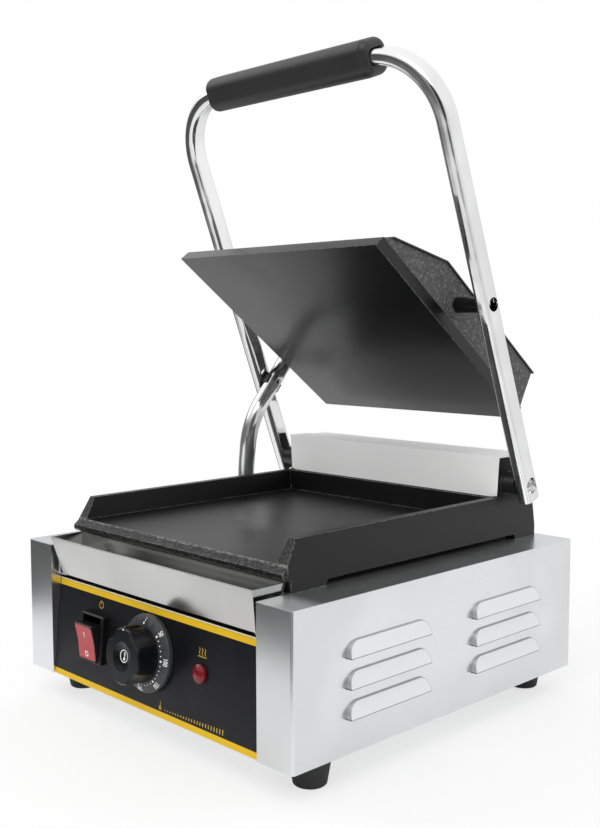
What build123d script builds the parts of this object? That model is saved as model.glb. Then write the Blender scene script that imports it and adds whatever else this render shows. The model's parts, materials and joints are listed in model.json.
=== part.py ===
from build123d import *
import math
import os

os.makedirs("parts", exist_ok=True)

# Single contact grill, millimetres, +Z up, the operator stands on the -Y side.
# While the parts are drawn, Y = 0 is the front plane of the housing and Z = 0 is the table.
# At the end everything moves along Y, so that the origin lies under the middle of the whole grill.

# Housing
width = 290.0
depth = 292.0
foot_height = 20.0
housing_height = 97.0
sheet = 1.2
pillar_width = 31.0
pillar_return = 27.0
bend_radius = 2.0
base_z = foot_height
deck_z = foot_height + housing_height
opening_half = width / 2 - pillar_width

# Feet
foot_spots = {"front": (125.0, 33.6), "rear": (113.5, 277.0)}
foot_top_r = 14.0
foot_tread_r = 10.7

# Louvres in both side walls
louvre_length = 76.0
louvre_height = 10.5
louvre_proud = 4.0
louvre_shoulder = 1.1
louvre_corner = 9.0
louvre_sheet = 0.9
louvre_starts_y = (45.0, 169.0)
louvre_sills_z = (foot_height + 22.0, foot_height + 40.8, foot_height + 59.6)

# Control panel, leaning back between the pillars
panel_height = 72.0
panel_lean = 5.6
panel_thick = 1.5
panel_foot_y = 1.2
dial_x, dial_v = 0.5, 40.0
switch_x, switch_v = -64.0, 36.6
lamp_x, lamp_v = 55.2, 38.6
dial_r = 26.3
dial_rim_height = 3.8
dial_crown_r = 19.6
dial_crown_height = 6.8
knob_r = 18.8
knob_reach = 22.6
knob_dish_r = 9.8
scallop_r = 16.6
scallop_centre = 33.0
scallop_tilt = 9.0
lamp_r = 6.1
rocker_tilt = 14.0
rocker_axis = -1.0

# Grease tray in front of the griddle
tray_rim_z = foot_height + 102.8
tray_floor_z = foot_height + 75.5
tray_top_half = 112.4
tray_floor_half = 107.0
tray_sheet = 1.0

# Lower casting, the griddle
griddle_face_z = foot_height + 114.0
griddle_top_z = foot_height + 129.5
griddle_under_z = griddle_face_z - 9.0
skirt_z = foot_height + 101.0
lip_y = 20.8
lip_z = foot_height + 109.5
face_front_y = 24.5
face_back_y = 237.2
rear_wall_y = 243.4
casting_back_y = 286.5
rear_leg_y = 261.0
casting_half_low = 115.5
casting_half_high = 112.6
face_half = 104.8
cheek_inner = 107.0
cheek_top_z = foot_height + 159.8

# Hinge, carried by the two cheeks of the lower casting
pivot_y = 252.4
pivot_z = foot_height + 141.0
shaft_r = 5.0
bush_r = 6.5
running_gap = 0.05
spring_wire_r = 1.0
spring_mean_r = 6.3
spring_turns = 7
spring_steps = 12
spring_pitch = 4.1
spring_start_x = 24.0
bolt_r = 3.0
bolt_collar_r = 3.6
bolt_head_r = 5.2
bolt_head_reach = (0.7, 6.2)
bolt_socket = 4.5
spring_box_front_y = rear_wall_y + 0.1
spring_box_sheet = 0.9

# Handle frame, one flat-sided tube bent to a U
arm_angle = 69.0
arm_x = 130.0
tube_thick = 11.0
tube_wide = 16.0
tube_wall = 1.5
tube_corner = 4.4
frame_reach = 318.6
frame_bend = 50.0
arm_tail = 12.0
tube_inner_face = arm_x - tube_thick / 2
grip_half = 84.5

# Upper plate, hung on two pins in the arms
pin_reach = 141.0
pin_above_face = 21.5
plate_tilt = 37.1
plate_half = 103.4
plate_front = -91.9
plate_back = 113.9
plate_strip = 9.3
plate_top = 38.8
cover_sheet = 1.2
pin_r = 4.0
sleeve_r = 5.6
boss_x = 104.4

# Conduit from the deck to the upper plate, left side
conduit_r = 7.0
conduit_bore = 5.6
conduit_base = (-130.0, 206.0)
conduit_clip = (-116.4, 225.4, foot_height + 207.5)
conduit_drop = (-84.0, 62.0)
conduit_rise_z = 150.0
conduit_clip_run = 42.0
conduit_bend_radii = [70.0, 46.0]
conduit_hole_r = 9.4

# Places of hardware on the hidden sides
foot_places = [(side * x, y) for side in (-1, 1) for x, y in foot_spots.values()]
gland_x, gland_z = -104.0, base_z + 30
gland_reach = 9.0
rear_screw_places = [(x, z) for x in (-134.0, 134.0) for z in (base_z + 10, base_z + 86)]
cover_screw_places = [(x, y) for x in (-60.0, 60.0) for y in (-50.0, 84.0)]
clamp_places = [(x, y) for x in (-72.0, 72.0) for y in (96.0, 196.0)]
element_r = 3.9


def box(x0, x1, y0, y1, z0, z1):
    return Pos((x0 + x1) / 2, (y0 + y1) / 2, (z0 + z1) / 2) * Box(x1 - x0, y1 - y0, z1 - z0)


def rod_x(x0, x1, y, z, r):
    return Pos((x0 + x1) / 2, y, z) * Rot(0, 90, 0) * Cylinder(r, x1 - x0)


def rod_y(x, y0, y1, z, r):
    return Pos(x, (y0 + y1) / 2, z) * Rot(90, 0, 0) * Cylinder(r, y1 - y0)


def rod_z(x, y, z0, z1, r):
    return Pos(x, y, (z0 + z1) / 2) * Cylinder(r, z1 - z0)


def prism_x(points, x0, x1):
    """Solid with the given outline of (y, z) points, from x0 to x1."""
    wire = Wire.make_polygon([Vector(x0, y, z) for y, z in points], close=True)
    return extrude(Face(wire), amount=x1 - x0, dir=(1, 0, 0))


def prism_y(points, y0, y1):
    """Solid with the given outline of (x, z) points, from y0 to y1."""
    wire = Wire.make_polygon([Vector(x, y0, z) for x, z in points], close=True)
    return extrude(Face(wire), amount=y1 - y0, dir=(0, 1, 0))


def tapered_box(low, high, z0, z1):
    """Loft between two rectangles (x0, x1, y0, y1) at z0 and z1."""
    faces = []
    for (x0, x1, y0, y1), z in ((low, z0), (high, z1)):
        faces.append(Pos((x0 + x1) / 2, (y0 + y1) / 2, z) * Rectangle(x1 - x0, y1 - y0))
    return loft(faces)


def group(solids):
    return Compound(children=[part for part in solids])


def tube_along(points, radii, r, bore=0.0):
    path = FilletPolyline(*points, radius=radii) if len(points) > 2 else Line(*points)
    start = Plane(origin=path @ 0, z_dir=path % 0)
    outer = sweep(start * Circle(r), path=path)
    if bore:
        outer -= sweep(start * Circle(bore), path=path)
    return outer


def hexagon(across_flats, height):
    return extrude(RegularPolygon(across_flats / 2, 6, major_radius=False), amount=height)


# Frames of reference for the leaning panel, the handle frame and the upper plate
lean = math.radians(panel_lean)
panel_plane = Plane(
    origin=(0, panel_foot_y, base_z),
    x_dir=(1, 0, 0),
    z_dir=(0, -math.cos(lean), math.sin(lean)),
)
panel = panel_plane.location

arm = math.radians(arm_angle)
frame_plane = Plane(
    origin=(0, pivot_y, pivot_z),
    x_dir=(1, 0, 0),
    z_dir=(0, -math.sin(arm), -math.cos(arm)),
)
frame = frame_plane.location

pin_y = pivot_y - pin_reach * math.cos(arm)
pin_z = pivot_z + pin_reach * math.sin(arm)
plate = Location((0, pin_y, pin_z)) * Location((0, 0, 0), (-plate_tilt, 0, 0))


# Housing: deck, two sides and the front pillars, folded from one sheet
def louvre(side, y0, sill_z):
    """Pressed hood with two rounded corners, proud at its sill and open below."""
    wall_x = width / 2 - sheet - 0.2

    def hood(inset):
        length, height = louvre_length - 2 * inset, louvre_height - inset
        blank = Rectangle(length, height)
        blank = fillet(blank.vertices().group_by(Axis.Y)[-1], louvre_corner - inset)
        middle = (wall_x, y0 + louvre_length / 2, sill_z + height / 2)
        bulk = extrude(Plane(origin=middle, x_dir=(0, 1, 0), z_dir=(1, 0, 0)) * blank, amount=12)
        profile = [
            (wall_x - 1, sill_z - 1), (width / 2 + louvre_proud - inset, sill_z - 1),
            (width / 2 + louvre_proud - inset, sill_z + 1.5),
            (width / 2 + louvre_shoulder - inset, sill_z + louvre_height + 0.5),
            (wall_x - 1, sill_z + louvre_height + 0.5),
        ]
        return bulk & prism_y(profile, y0 - 1, y0 + louvre_length + 1)

    outer, inner = hood(0.0), hood(louvre_sheet)
    inner += box(
        wall_x, width / 2 + louvre_proud - louvre_sheet, y0 + louvre_sheet,
        y0 + louvre_length - louvre_sheet, sill_z - 0.01, sill_z + 1,
    )
    if side < 0:
        outer, inner = mirror(outer, about=Plane.YZ), mirror(inner, about=Plane.YZ)
    return outer, inner


def housing_shell():
    half = width / 2
    shell = box(-half, half, 0, depth, base_z, deck_z)
    shell = fillet(shell.edges().filter_by(Axis.Z), bend_radius)
    shell -= box(-half + sheet, half - sheet, sheet, depth + 1, base_z - 1, deck_z - sheet)
    # the front stays open between the pillars, the deck is notched for the tray
    shell -= box(-opening_half, opening_half, -1, sheet + 1, base_z - 1, deck_z + 1)
    shell -= box(-opening_half, opening_half, -1, pillar_return, deck_z - sheet - 1, deck_z + 1)
    # window under the griddle and hole for the conduit
    shell -= box(-92, 92, 66, 226, deck_z - sheet - 1, deck_z + 1)
    shell -= rod_z(*conduit_base, deck_z - sheet - 1, deck_z + 1, conduit_hole_r)
    for side in (-1, 1):
        inner = side * opening_half
        outer = side * (opening_half + sheet)
        x0, x1 = min(inner, outer), max(inner, outer)
        shell += box(x0, x1, 0.6, pillar_return, base_z + sheet + 0.2, deck_z - 0.4)
        for y0 in louvre_starts_y:
            for sill_z in louvre_sills_z:
                hood, hollow = louvre(side, y0, sill_z)
                shell = shell + hood - hollow
    return shell


def rear_panel():
    half = width / 2 - sheet - 0.2
    back = box(-half, half, depth - sheet, depth, base_z + 0.2, deck_z - sheet - 0.2)
    slot = Pos(0, depth, 0) * Rot(90, 0, 0) * extrude(SlotOverall(44, 5), amount=6, both=True)
    for x in (-26.0, 34.0, 94.0):
        for z in (base_z + 52, base_z + 64, base_z + 76):
            back -= Pos(x, 0, z) * slot
    back -= rod_y(gland_x, depth - 3, depth + 1, gland_z, 8.0)
    for x, z in rear_screw_places:
        back -= rod_y(x, depth - 3, depth + 1, z, 1.9)
    return back


def bottom_plate():
    half = width / 2 - sheet - 0.2
    floor = box(-half, half, 5.2, depth - sheet - 0.2, base_z, base_z + sheet)
    slot = Rot(0, 0, 90) * extrude(SlotOverall(46, 5), amount=4, both=True)
    for x in (-60, -36, -12, 12, 36, 60):
        for y in (110, 180):
            floor -= Pos(x, y, base_z) * slot
    for x, y in foot_places:
        floor -= rod_z(x, y, base_z - 1, base_z + 3, 2.6)
    return floor


def foot():
    outline = Polyline(
        (0, 0), (foot_tread_r - 1, 0), (foot_tread_r, 1), (foot_top_r, foot_height), (0, foot_height), close=True
    )
    rubber = revolve(Plane.XZ * make_face(outline), axis=Axis.Z)
    return rubber - rod_z(0, 0, -1, 7, 5.4) - rod_z(0, 0, 6, foot_height + 1, 2.5)


def foot_screw():
    return rod_z(0, 0, 4.2, 7, 5.0) + rod_z(0, 0, 6, foot_height + 6, 2.4)


# Control panel and what it carries, drawn flat: X across, Y up the panel, Z out of it
def control_panel():
    half = opening_half - 0.3
    face = box(-half, half, 0, panel_height, -panel_thick, 0)
    face += box(-half, half, panel_height - panel_thick, panel_height, -12, 0)
    face += box(-half, half, 0, panel_thick, -3.0, 0)
    face -= box(switch_x - 12.2, switch_x + 12.2, switch_v - 16.2, switch_v + 16.2, -4, 1)
    face -= rod_z(dial_x, dial_v, -4, 1, 5.2)
    face -= rod_z(lamp_x, lamp_v, -4, 1, 5.6)
    return panel * face


def switch_housing():
    collar = Pos(switch_x, switch_v, 0) * extrude(RectangleRounded(28, 34.4, 2.0), amount=4.4)
    collar = chamfer(collar.faces().sort_by(Axis.Z)[-1].outer_wire().edges(), 0.8)
    body = box(switch_x - 12, switch_x + 12, switch_v - 16, switch_v + 16, -27, 0.4)
    well = box(switch_x - 10.9, switch_x + 10.9, switch_v - 15.7, switch_v + 15.7, -9, 5)
    pivot = rod_x(switch_x - 11.8, switch_x + 11.8, switch_v, rocker_axis, 1.55)
    socket = collar + body - well - pivot
    for x in (switch_x - 6, switch_x + 6):
        for v in (switch_v - 9, switch_v + 1):
            socket += box(x - 0.4, x + 0.4, v - 3, v + 3, -36, -26)
    return panel * socket


def switch_rocker():
    """Tilted rocker, its upper end out: the off position."""
    outline = [(-13.2, 9.2), (0, 8.4), (13.2, 9.2), (13.4, 7.4), (11, -1), (6, -5.6)]
    outline += [(-6, -5.6), (-11, -1), (-13.4, 7.4)]
    key = prism_x(outline, -10.5, 10.5)
    key = fillet(key.edges().filter_by(Axis.X).sort_by(Axis.Z)[-4:], 1.0)
    key = chamfer(key.faces().sort_by(Axis.X)[-1].outer_wire().edges(), 0.6)
    key = chamfer(key.faces().sort_by(Axis.X)[0].outer_wire().edges(), 0.6)
    key = Pos(0, 0, -rocker_axis) * key + rod_x(-11.6, 11.6, 0, 0, 1.5)
    return panel * (Pos(switch_x, switch_v, rocker_axis) * Rot(rocker_tilt, 0, 0) * key)


def dial_bezel():
    crown = (dial_crown_r, dial_crown_height)
    edge = [(dial_r - 0.4, 0.02), (dial_r, 0.5), (dial_r, dial_rim_height - 0.6), (dial_r - 0.6, dial_rim_height)]
    rim = [(13.0, 0.02), *edge, crown, (13.0, dial_crown_height)]
    ring = revolve(Plane.XZ * make_face(Polyline(*rim, close=True)), axis=Axis.Z)
    return panel * (Pos(dial_x, dial_v, 0) * ring)


def control_knob():
    """Knob with four finger scallops that run out downwards, a pointer nose and a dished front."""
    seat = dial_crown_height + 0.4
    body = rod_z(0, 0, seat, knob_reach, knob_r)
    nose = Polyline((-4.4, 15.5), (-1.0, 20.0), (1.0, 20.0), (4.4, 15.5), close=True)
    body += Pos(0, 0, seat + 3.5) * extrude(make_face(nose), amount=knob_reach - seat - 3.5)
    for angle in (46, 134, 226, 314):
        scallop = Pos(scallop_centre, 0, knob_reach) * Rot(0, -scallop_tilt, 0) * Cylinder(scallop_r, 60)
        body -= Rot(0, 0, angle) * scallop
    rim = body.faces().sort_by(Axis.Z)[-1].outer_wire().edges()
    body = chamfer(rim, 1.1)
    ball_r = 21.0
    body -= Pos(0, 0, knob_reach + math.sqrt(ball_r ** 2 - knob_dish_r ** 2)) * Sphere(ball_r)
    body += rod_z(0, 0, 1.0, seat + 0.1, 9.0)
    body -= rod_z(0, 0, 0, 15.0, 3.0)
    return panel * (Pos(dial_x, dial_v, 0) * body)


def thermostat_shaft():
    spindle = rod_z(0, 0, -12, 15.0, 3.0)
    return panel * (Pos(dial_x, dial_v, 0) * spindle)


def thermostat_body():
    can = box(-18, 18, -20, 20, -42, -6) + rod_z(0, 0, -6.5, -panel_thick, 8.0)
    can += rod_z(0, 0, -5, 0.8, 5.0)
    can -= rod_z(0, 0, -13, 2, 3.0 + running_gap)
    can = can + box(-12, -8, 20, 26, -30, -20) + box(8, 12, 20, 26, -30, -20)
    return panel * (Pos(dial_x, dial_v, 0) * can)


def lamp_lens():
    ball_r = 9.6
    cap = Pos(0, 0, 4.0 - ball_r) * Sphere(ball_r) & rod_z(0, 0, 1.4, 6, lamp_r)
    return panel * (Pos(lamp_x, lamp_v, 0) * (rod_z(0, 0, 0.02, 1.7, lamp_r) + cap))


def lamp_body():
    barrel = rod_z(0, 0, -24, 0.02, 5.4) + rod_z(0, 0, -4.6, -panel_thick, 8.0)
    barrel += box(-3.2, -2.4, -2, 2, -32, -23) + box(2.4, 3.2, -2, 2, -32, -23)
    return panel * (Pos(lamp_x, lamp_v, 0) * barrel)


# Grease tray: a folded trough, its ends and front drawn in towards the floor
def grease_tray():
    t = tray_sheet
    rim = tray_rim_z + 1.5
    low, high = tray_floor_half, tray_top_half
    outer = tapered_box((-low, low, 5.8, 21.0), (-high, high, -1.4, 26.4), tray_floor_z, rim)
    low, high = low - t, high - t
    hollow_low = (-low, low, 5.8 + t, 21.0 - t)
    hollow_high = (-high, high, -1.4 + t, 26.4 - t)
    trough = outer - tapered_box(hollow_low, hollow_high, tray_floor_z + t, rim + 0.01)
    slope = [(-5, tray_rim_z + 0.6), (-5, rim + 9), (40, rim + 9), (40, tray_rim_z + 1.1)]
    trough -= prism_x(slope, -130, 130)
    hem = [(-1.2, 0), (0.9, -0.3), (1.3, -2.4), (-0.6, -2.4)]
    return trough + prism_x([(y, tray_rim_z + z) for y, z in hem], -high + 0.2, high - 0.2)


def tray_runners():
    rails = []
    for side in (-1, 1):
        x0, x1 = sorted((side * (opening_half - 0.02), side * (opening_half - 9)))
        rail = box(x0, x1, 7, pillar_return - 1, tray_floor_z - 1.4, tray_floor_z - 0.3)
        x2, x3 = sorted((side * (opening_half - 0.02), side * (opening_half - 1.1)))
        rail += box(x2, x3, 7, pillar_return - 1, tray_floor_z - 1.4, tray_floor_z + 8)
        rails.append(rail)
    return group(rails)


# Lower casting: griddle face, walls, drip lip, legs and the two hinge cheeks in one iron casting
def lower_casting():
    top = griddle_top_z
    cheek = cheek_top_z
    outline = [
        (22.4, griddle_under_z), (lip_y, griddle_under_z + 1.6), (lip_y, lip_z), (24.0, lip_z + 2.6),
        (34.0, top), (rear_wall_y + 1.2, top + 1.0), (rear_wall_y + 1.2, cheek),
        (266.0, cheek), (278.0, cheek - 8.0), (casting_back_y, top + 4), (casting_back_y, deck_z + 0.02),
        (rear_leg_y, deck_z + 0.02), (rear_leg_y - 1.5, skirt_z), (58.5, skirt_z),
        (57.0, deck_z + 0.02), (27.0, deck_z + 0.02), (27.0, griddle_under_z),
    ]
    block = prism_x(outline, -casting_half_low - 1, casting_half_low + 1)
    draft = [
        (-casting_half_low, deck_z - 1), (casting_half_low, deck_z - 1), (casting_half_low, griddle_under_z),
        (casting_half_high, top), (casting_half_high, cheek + 1), (-casting_half_high, cheek + 1),
        (-casting_half_high, top), (-casting_half_low, griddle_under_z),
    ]
    block &= prism_y(draft, 0, depth)
    # cooking space, open to the front over the lip
    space = [
        (-5, lip_z), (lip_y - 0.01, lip_z), (face_front_y, griddle_face_z),
        (face_back_y, griddle_face_z), (face_back_y + 1.4, cheek + 5), (-5, cheek + 5),
    ]
    walls = [
        (-face_half, lip_z - 1), (face_half, lip_z - 1), (face_half, griddle_face_z),
        (face_half + 2.0, top + 1), (face_half + 2.0, cheek + 6), (-face_half - 2.0, cheek + 6),
        (-face_half - 2.0, top + 1), (-face_half, griddle_face_z),
    ]
    block -= prism_x(space, -130, 130) & prism_y(walls, -6, face_back_y + 3)
    # bay for the spring box between the cheeks, hollow underside with two ribs for the studs
    block -= box(-cheek_inner, cheek_inner, rear_wall_y, casting_back_y + 2, deck_z - 1, cheek + 2)
    block -= box(-cheek_inner, cheek_inner, 30, rear_wall_y - 5, deck_z - 1, griddle_under_z)
    for x in (-72.0, 72.0):
        block += box(x - 5.5, x + 5.5, 50, 226, griddle_under_z - 4.5, griddle_under_z + 0.5)
    for side in (-1, 1):
        x0, x1 = sorted((side * (cheek_inner - 1), side * (casting_half_low + 1)))
        block -= rod_x(x0, x1, pivot_y, pivot_z, bush_r)
    return block


def heating_element(z, x_half, y0, y1):
    """Tubular element, eight-sided: four legs joined by three half-turn bends."""
    step = 2 * x_half / 3
    points = []
    for i in range(4):
        leg = [(-x_half + step * i, y1, z), (-x_half + step * i, y0, z)]
        points += leg if i % 2 == 0 else leg[::-1]
    path = FilletPolyline(*points, radius=step / 2 - 1)
    start = Plane(origin=path @ 0, x_dir=(1, 0, 0), z_dir=path % 0)
    section = Rot(0, 0, 22.5) * RegularPolygon(element_r, 8)
    return sweep(start * section, path=path)


def lower_element():
    return heating_element(griddle_under_z - element_r - 0.7, 54.0, 72, 214)


def lower_clamp_plate():
    low = griddle_under_z - 2 * element_r - 0.7
    clamp = box(-84, 84, 72, 220, low - 2.2, low - 0.1)
    for x, y in clamp_places:
        clamp -= rod_z(x, y, low - 4, low + 1, 3.2)
    return clamp


def clamp_nuts():
    low = griddle_under_z - 2 * element_r - 0.7
    nuts = []
    for x, y in clamp_places:
        stud = rod_z(x, y, low - 8, griddle_under_z - 4.5, 3.0)
        nuts.append(Pos(x, y, low - 6.2) * hexagon(10, 4.0) + stud)
    return group(nuts)


def heat_shield():
    """Sheet pan under the heater, between it and the wiring."""
    pan = box(-96, 96, 60, 232, deck_z - 26, deck_z - sheet - 0.1)
    pan -= box(-95, 95, 61, 231, deck_z - 25, deck_z)
    flange = box(-104, 104, 56, 236, deck_z - sheet - 1.1, deck_z - sheet - 0.1)
    flange -= box(-95, 95, 61, 231, deck_z - 10, deck_z)
    return pan + flange


def terminal_block():
    block = box(-118, -88, 226, 244, base_z + sheet + 0.02, base_z + sheet + 16)
    for y in (229.5, 235.0, 240.5):
        block -= rod_z(-111, y, base_z + 8, base_z + 30, 1.9)
        block -= rod_z(-95, y, base_z + 8, base_z + 30, 1.9)
    return block


def cord_gland():
    x, z = gland_x, gland_z
    gland = rod_y(x, depth + 0.02, depth + 3.0, z, 11.0)
    gland += rod_y(x, depth + 3.0, depth + gland_reach, z, 8.6)
    gland += rod_y(x, depth - 12, depth + 0.5, z, 7.9)
    gland += rod_y(x, depth - 6.2, depth - sheet - 0.02, z, 10.5)
    return gland - rod_y(x, depth - 14, depth + gland_reach + 1, z, 4.4)


# Hinge: shaft, bushes, springs in their box
def hinge_shaft():
    end = tube_inner_face
    shaft = rod_x(-end, end, pivot_y, pivot_z, shaft_r)
    for side in (-1, 1):
        x0, x1 = sorted((side * (end - 16), side * (end + 1)))
        shaft -= rod_x(x0, x1, pivot_y, pivot_z, 3.0)
    return shaft


def hinge_bush(side):
    outer = casting_half_high
    x0, x1 = sorted((side * cheek_inner, side * (outer + 1.6)))
    bush = rod_x(x0, x1, pivot_y, pivot_z, bush_r)
    x2, x3 = sorted((side * (outer + 0.02), side * (outer + 1.6)))
    bush += rod_x(x2, x3, pivot_y, pivot_z, 8.6)
    return bush - rod_x(x0 - 1, x1 + 1, pivot_y, pivot_z, shaft_r + running_gap)


def hinge_spacer(side):
    x0, x1 = sorted((side * (casting_half_high + 1.9), side * tube_inner_face))
    return rod_x(x0, x1, pivot_y, pivot_z, 8.0) - rod_x(x0 - 1, x1 + 1, pivot_y, pivot_z, shaft_r)


def hinge_bolts():
    """A collar under each head keeps it clear of the rounded corners inside the arm."""
    bolts = []
    head_low, head_high = bolt_head_reach
    for side in (-1, 1):
        seat = tube_inner_face + tube_wall
        x0, x1 = sorted((side * (tube_inner_face - 15), side * (seat + 0.5)))
        x2, x3 = sorted((side * (seat + 0.02), side * (seat + head_low + 0.3)))
        x4, x5 = sorted((side * (seat + head_low), side * (seat + head_high)))
        bolt = rod_x(x0, x1, pivot_y, pivot_z, bolt_r)
        bolt += rod_x(x2, x3, pivot_y, pivot_z, bolt_collar_r)
        bolt += rod_x(x4, x5, pivot_y, pivot_z, bolt_head_r)
        socket = Rot(0, 90 * side, 0) * hexagon(bolt_socket, 3.0)
        bolts.append(bolt - Pos(side * (seat + 4.0), pivot_y, pivot_z) * socket)
    return group(bolts)


def torsion_spring(side):
    """Spring round the shaft: one end bears on the front of the box, the other is in the collar."""
    length = spring_turns * spring_pitch
    rise = math.degrees(math.atan(spring_pitch / (2 * math.pi * spring_mean_r)))
    wire = Rot(rise - 90, 0, 0) * RegularPolygon(spring_wire_r, 6)
    sections = []
    for i in range(spring_turns * spring_steps + 1):
        place = Rot(0, 0, 360 * i / spring_steps) * Pos(spring_mean_r, 0, spring_pitch * i / spring_steps)
        sections.append((place * wire).face())
    coil = loft(sections, ruled=True)
    reach = pivot_y - (spring_box_front_y + spring_box_sheet) - 0.3
    bearing_leg = Pos(spring_mean_r, -reach / 2, length) * Rot(90, 0, 0) * Cylinder(spring_wire_r, reach)
    collar_leg = Pos(spring_mean_r, 0, -2.2) * Cylinder(spring_wire_r, 5.6)
    placed = Pos(spring_start_x, pivot_y, pivot_z) * Rot(0, 90, 0) * (coil + bearing_leg + collar_leg)
    return placed if side > 0 else mirror(placed, about=Plane.YZ)


def spring_collar(side):
    x = side * (spring_start_x - 7)
    ring = rod_x(x - 4, x + 4, pivot_y, pivot_z, 7.6)
    ring -= rod_x(x - 5, x + 5, pivot_y, pivot_z, shaft_r)
    half = spring_wire_r + 0.1
    return ring - box(x - 5, x + 5, pivot_y - half, pivot_y + half, pivot_z - 9, pivot_z - 5.2)


def spring_box():
    """Folded cover over the springs; its front and top lap the cheeks."""
    t = spring_box_sheet
    front_y = spring_box_front_y
    back_y = casting_back_y - 5
    inner = cheek_inner - 0.3
    top = cheek_top_z + 1.0
    cover = box(-inner, inner, front_y, back_y, griddle_top_z - 6, top)
    cover -= box(-inner - 1, inner + 1, front_y + t, back_y - t, deck_z, top - t)
    low, high = casting_half_high - 2.2, casting_half_high - 0.2
    front = [(-low, griddle_top_z + 1.4), (low, griddle_top_z + 1.4), (high, top), (-high, top)]
    cover += prism_y(front, front_y, front_y + t)
    cover += box(-casting_half_high - 1, casting_half_high + 1, front_y, 267, top - t, top)
    cover += box(-inner, inner, back_y - t, back_y, deck_z + 0.1, top)
    return cover


# Handle frame and grip, drawn flat in the plane of the frame: X across, Y up the arms from the pivot
def frame_tube(thick, wide, corner):
    path = FilletPolyline(
        (arm_x, -arm_tail), (arm_x, frame_reach), (-arm_x, frame_reach), (-arm_x, -arm_tail), radius=frame_bend
    )
    start = Plane(origin=path @ 0, x_dir=(1, 0, 0), z_dir=path % 0)
    return sweep(start * RectangleRounded(thick, wide, corner), path=path)


def rounded_tail():
    """Bar across both arm ends whose rear corner is rounded off."""
    bar = box(-arm_x - 8, arm_x + 8, -arm_tail, -arm_tail + 12, -tube_wide / 2, tube_wide / 2)
    corner = [e for e in bar.edges().filter_by(Axis.X) if e.center().Y < -arm_tail + 1 and e.center().Z < 0]
    return fillet(corner, 3.5)


def handle_frame():
    tube = frame_tube(tube_thick, tube_wide, tube_corner)
    bore = frame_tube(tube_thick - 2 * tube_wall, tube_wide - 2 * tube_wall, tube_corner - tube_wall)
    tube -= bore
    tube -= box(-arm_x - 8, arm_x + 8, -arm_tail - 1, -arm_tail + 4, -9, 9) - rounded_tail()
    for side in (-1, 1):
        inner, middle, outer = side * (arm_x - 7), side * arm_x, side * (arm_x + 7)
        for v, through_r, access_r in ((0, 3.1, 6.0), (pin_reach, pin_r + running_gap, 5.0)):
            tube -= rod_x(min(inner, middle), max(inner, middle), v, 0, through_r)
            tube -= rod_x(min(middle, outer), max(middle, outer), v, 0, access_r)
    return frame * tube


def handle_grip():
    grip = Pos(0, frame_reach, 0) * Rot(0, 90, 0) * extrude(
        RectangleRounded(26.6, 25.4, 8.5), amount=grip_half, both=True
    )
    ends = grip.faces().filter_by(Axis.X)
    grip = fillet(ends.edges(), 7.0)
    bore = Pos(0, frame_reach, 0) * Rot(0, 90, 0) * extrude(
        RectangleRounded(tube_wide + 0.9, tube_thick + 0.9, tube_corner), amount=grip_half + 1, both=True
    )
    return frame * (grip - bore)


# Upper plate, drawn level with its pin axis at the origin: X across, Y back, Z up
def at_height(points):
    return [(y, h - pin_above_face) for y, h in points]


def upper_casting():
    outline = at_height([
        (plate_front, 0), (-89.2, 9.0), (-80.0, 15.0), (-26.0, plate_top),
        (108.4, plate_top), (110.4, 22.0), (plate_back, 0),
    ])
    body = prism_x(outline, -plate_half, plate_half)
    # above the machined strip the sides stand back by one millimetre
    for side in (-1, 1):
        x0, x1 = sorted((side * (plate_half - 1.0), side * (plate_half + 1)))
        body -= box(x0, x1, -84, 120, plate_strip - pin_above_face, 60)
    cavity = at_height([(-76, 10.5), (-70, 14.0), (-24, 34.4), (-24, 60), (103.5, 60), (103.5, 10.5)])
    body -= prism_x(cavity, -95, 95)
    body -= prism_x(at_height([(-74, 10.6), (-74, 60), (-20, 60), (-20, 10.6)]), -95, 95)
    for side in (-1, 1):
        x0, x1 = sorted((side * 88, side * boss_x))
        body += rod_x(x0, x1, 0, 0, 9.5)
        body -= rod_x(x0 - 2, x1 + 2, 0, 0, pin_r)
    under_cover = prism_x(outline, -plate_half, plate_half)
    for x, y in cover_screw_places:
        body += rod_z(x, y, 10 - pin_above_face, 60, 5.0) & under_cover
        body -= rod_z(x, y, 16 - pin_above_face, 60, 2.0)
    return plate * body


def cover_level(y):
    """Height of the casting under the cover at a place y along the plate."""
    slope = (plate_top - 15.0) / 54.0
    return min(plate_top, 15.0 + slope * (y + 80.0)) - pin_above_face


def upper_cover():
    t = cover_sheet
    gap = 0.02
    under = [(-80.4, 15.0 + gap), (-26.2, plate_top + gap), (109.6, plate_top + gap)]
    over = [(109.6, plate_top + gap + t), (-26.5, plate_top + gap + t), (-80.9, 15.0 + gap + t)]
    sheet_metal = prism_x(at_height(under + over), -plate_half - 0.2, plate_half + 0.2)
    for x, y in cover_screw_places:
        sheet_metal -= rod_z(x, y, -10, 60, 2.3)
    return plate * sheet_metal


def cover_screws():
    screws = []
    for x, y in cover_screw_places:
        # the front pair stands square to the sloping part of the cover
        turn = 23.8 if y < 0 else 0.0
        level = cover_level(y) + (0.5 if y < 0 else 0.1) + cover_sheet
        head = Rot(turn, 0, 0) * (Cylinder(4.0, 2.0) - Pos(0, 0, 0.8) * Box(5.4, 0.9, 1.6))
        screws.append(plate * (Pos(x, y, level + 1.1) * head + rod_z(x, y, level - 9, level + 0.6, 1.9)))
    return group(screws)


def upper_element():
    return plate * heating_element(10.5 - pin_above_face + 4.0, 48.0, -60, 84)


def upper_clamp_plate():
    low = 10.5 - pin_above_face + 8.1
    return plate * box(-52, 52, -44, 74, low, low + 2.0)


def upper_insulation():
    low = 10.5 - pin_above_face + 10.3
    return plate * box(-52, 52, -18, 74, low, low + 12.0)


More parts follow.
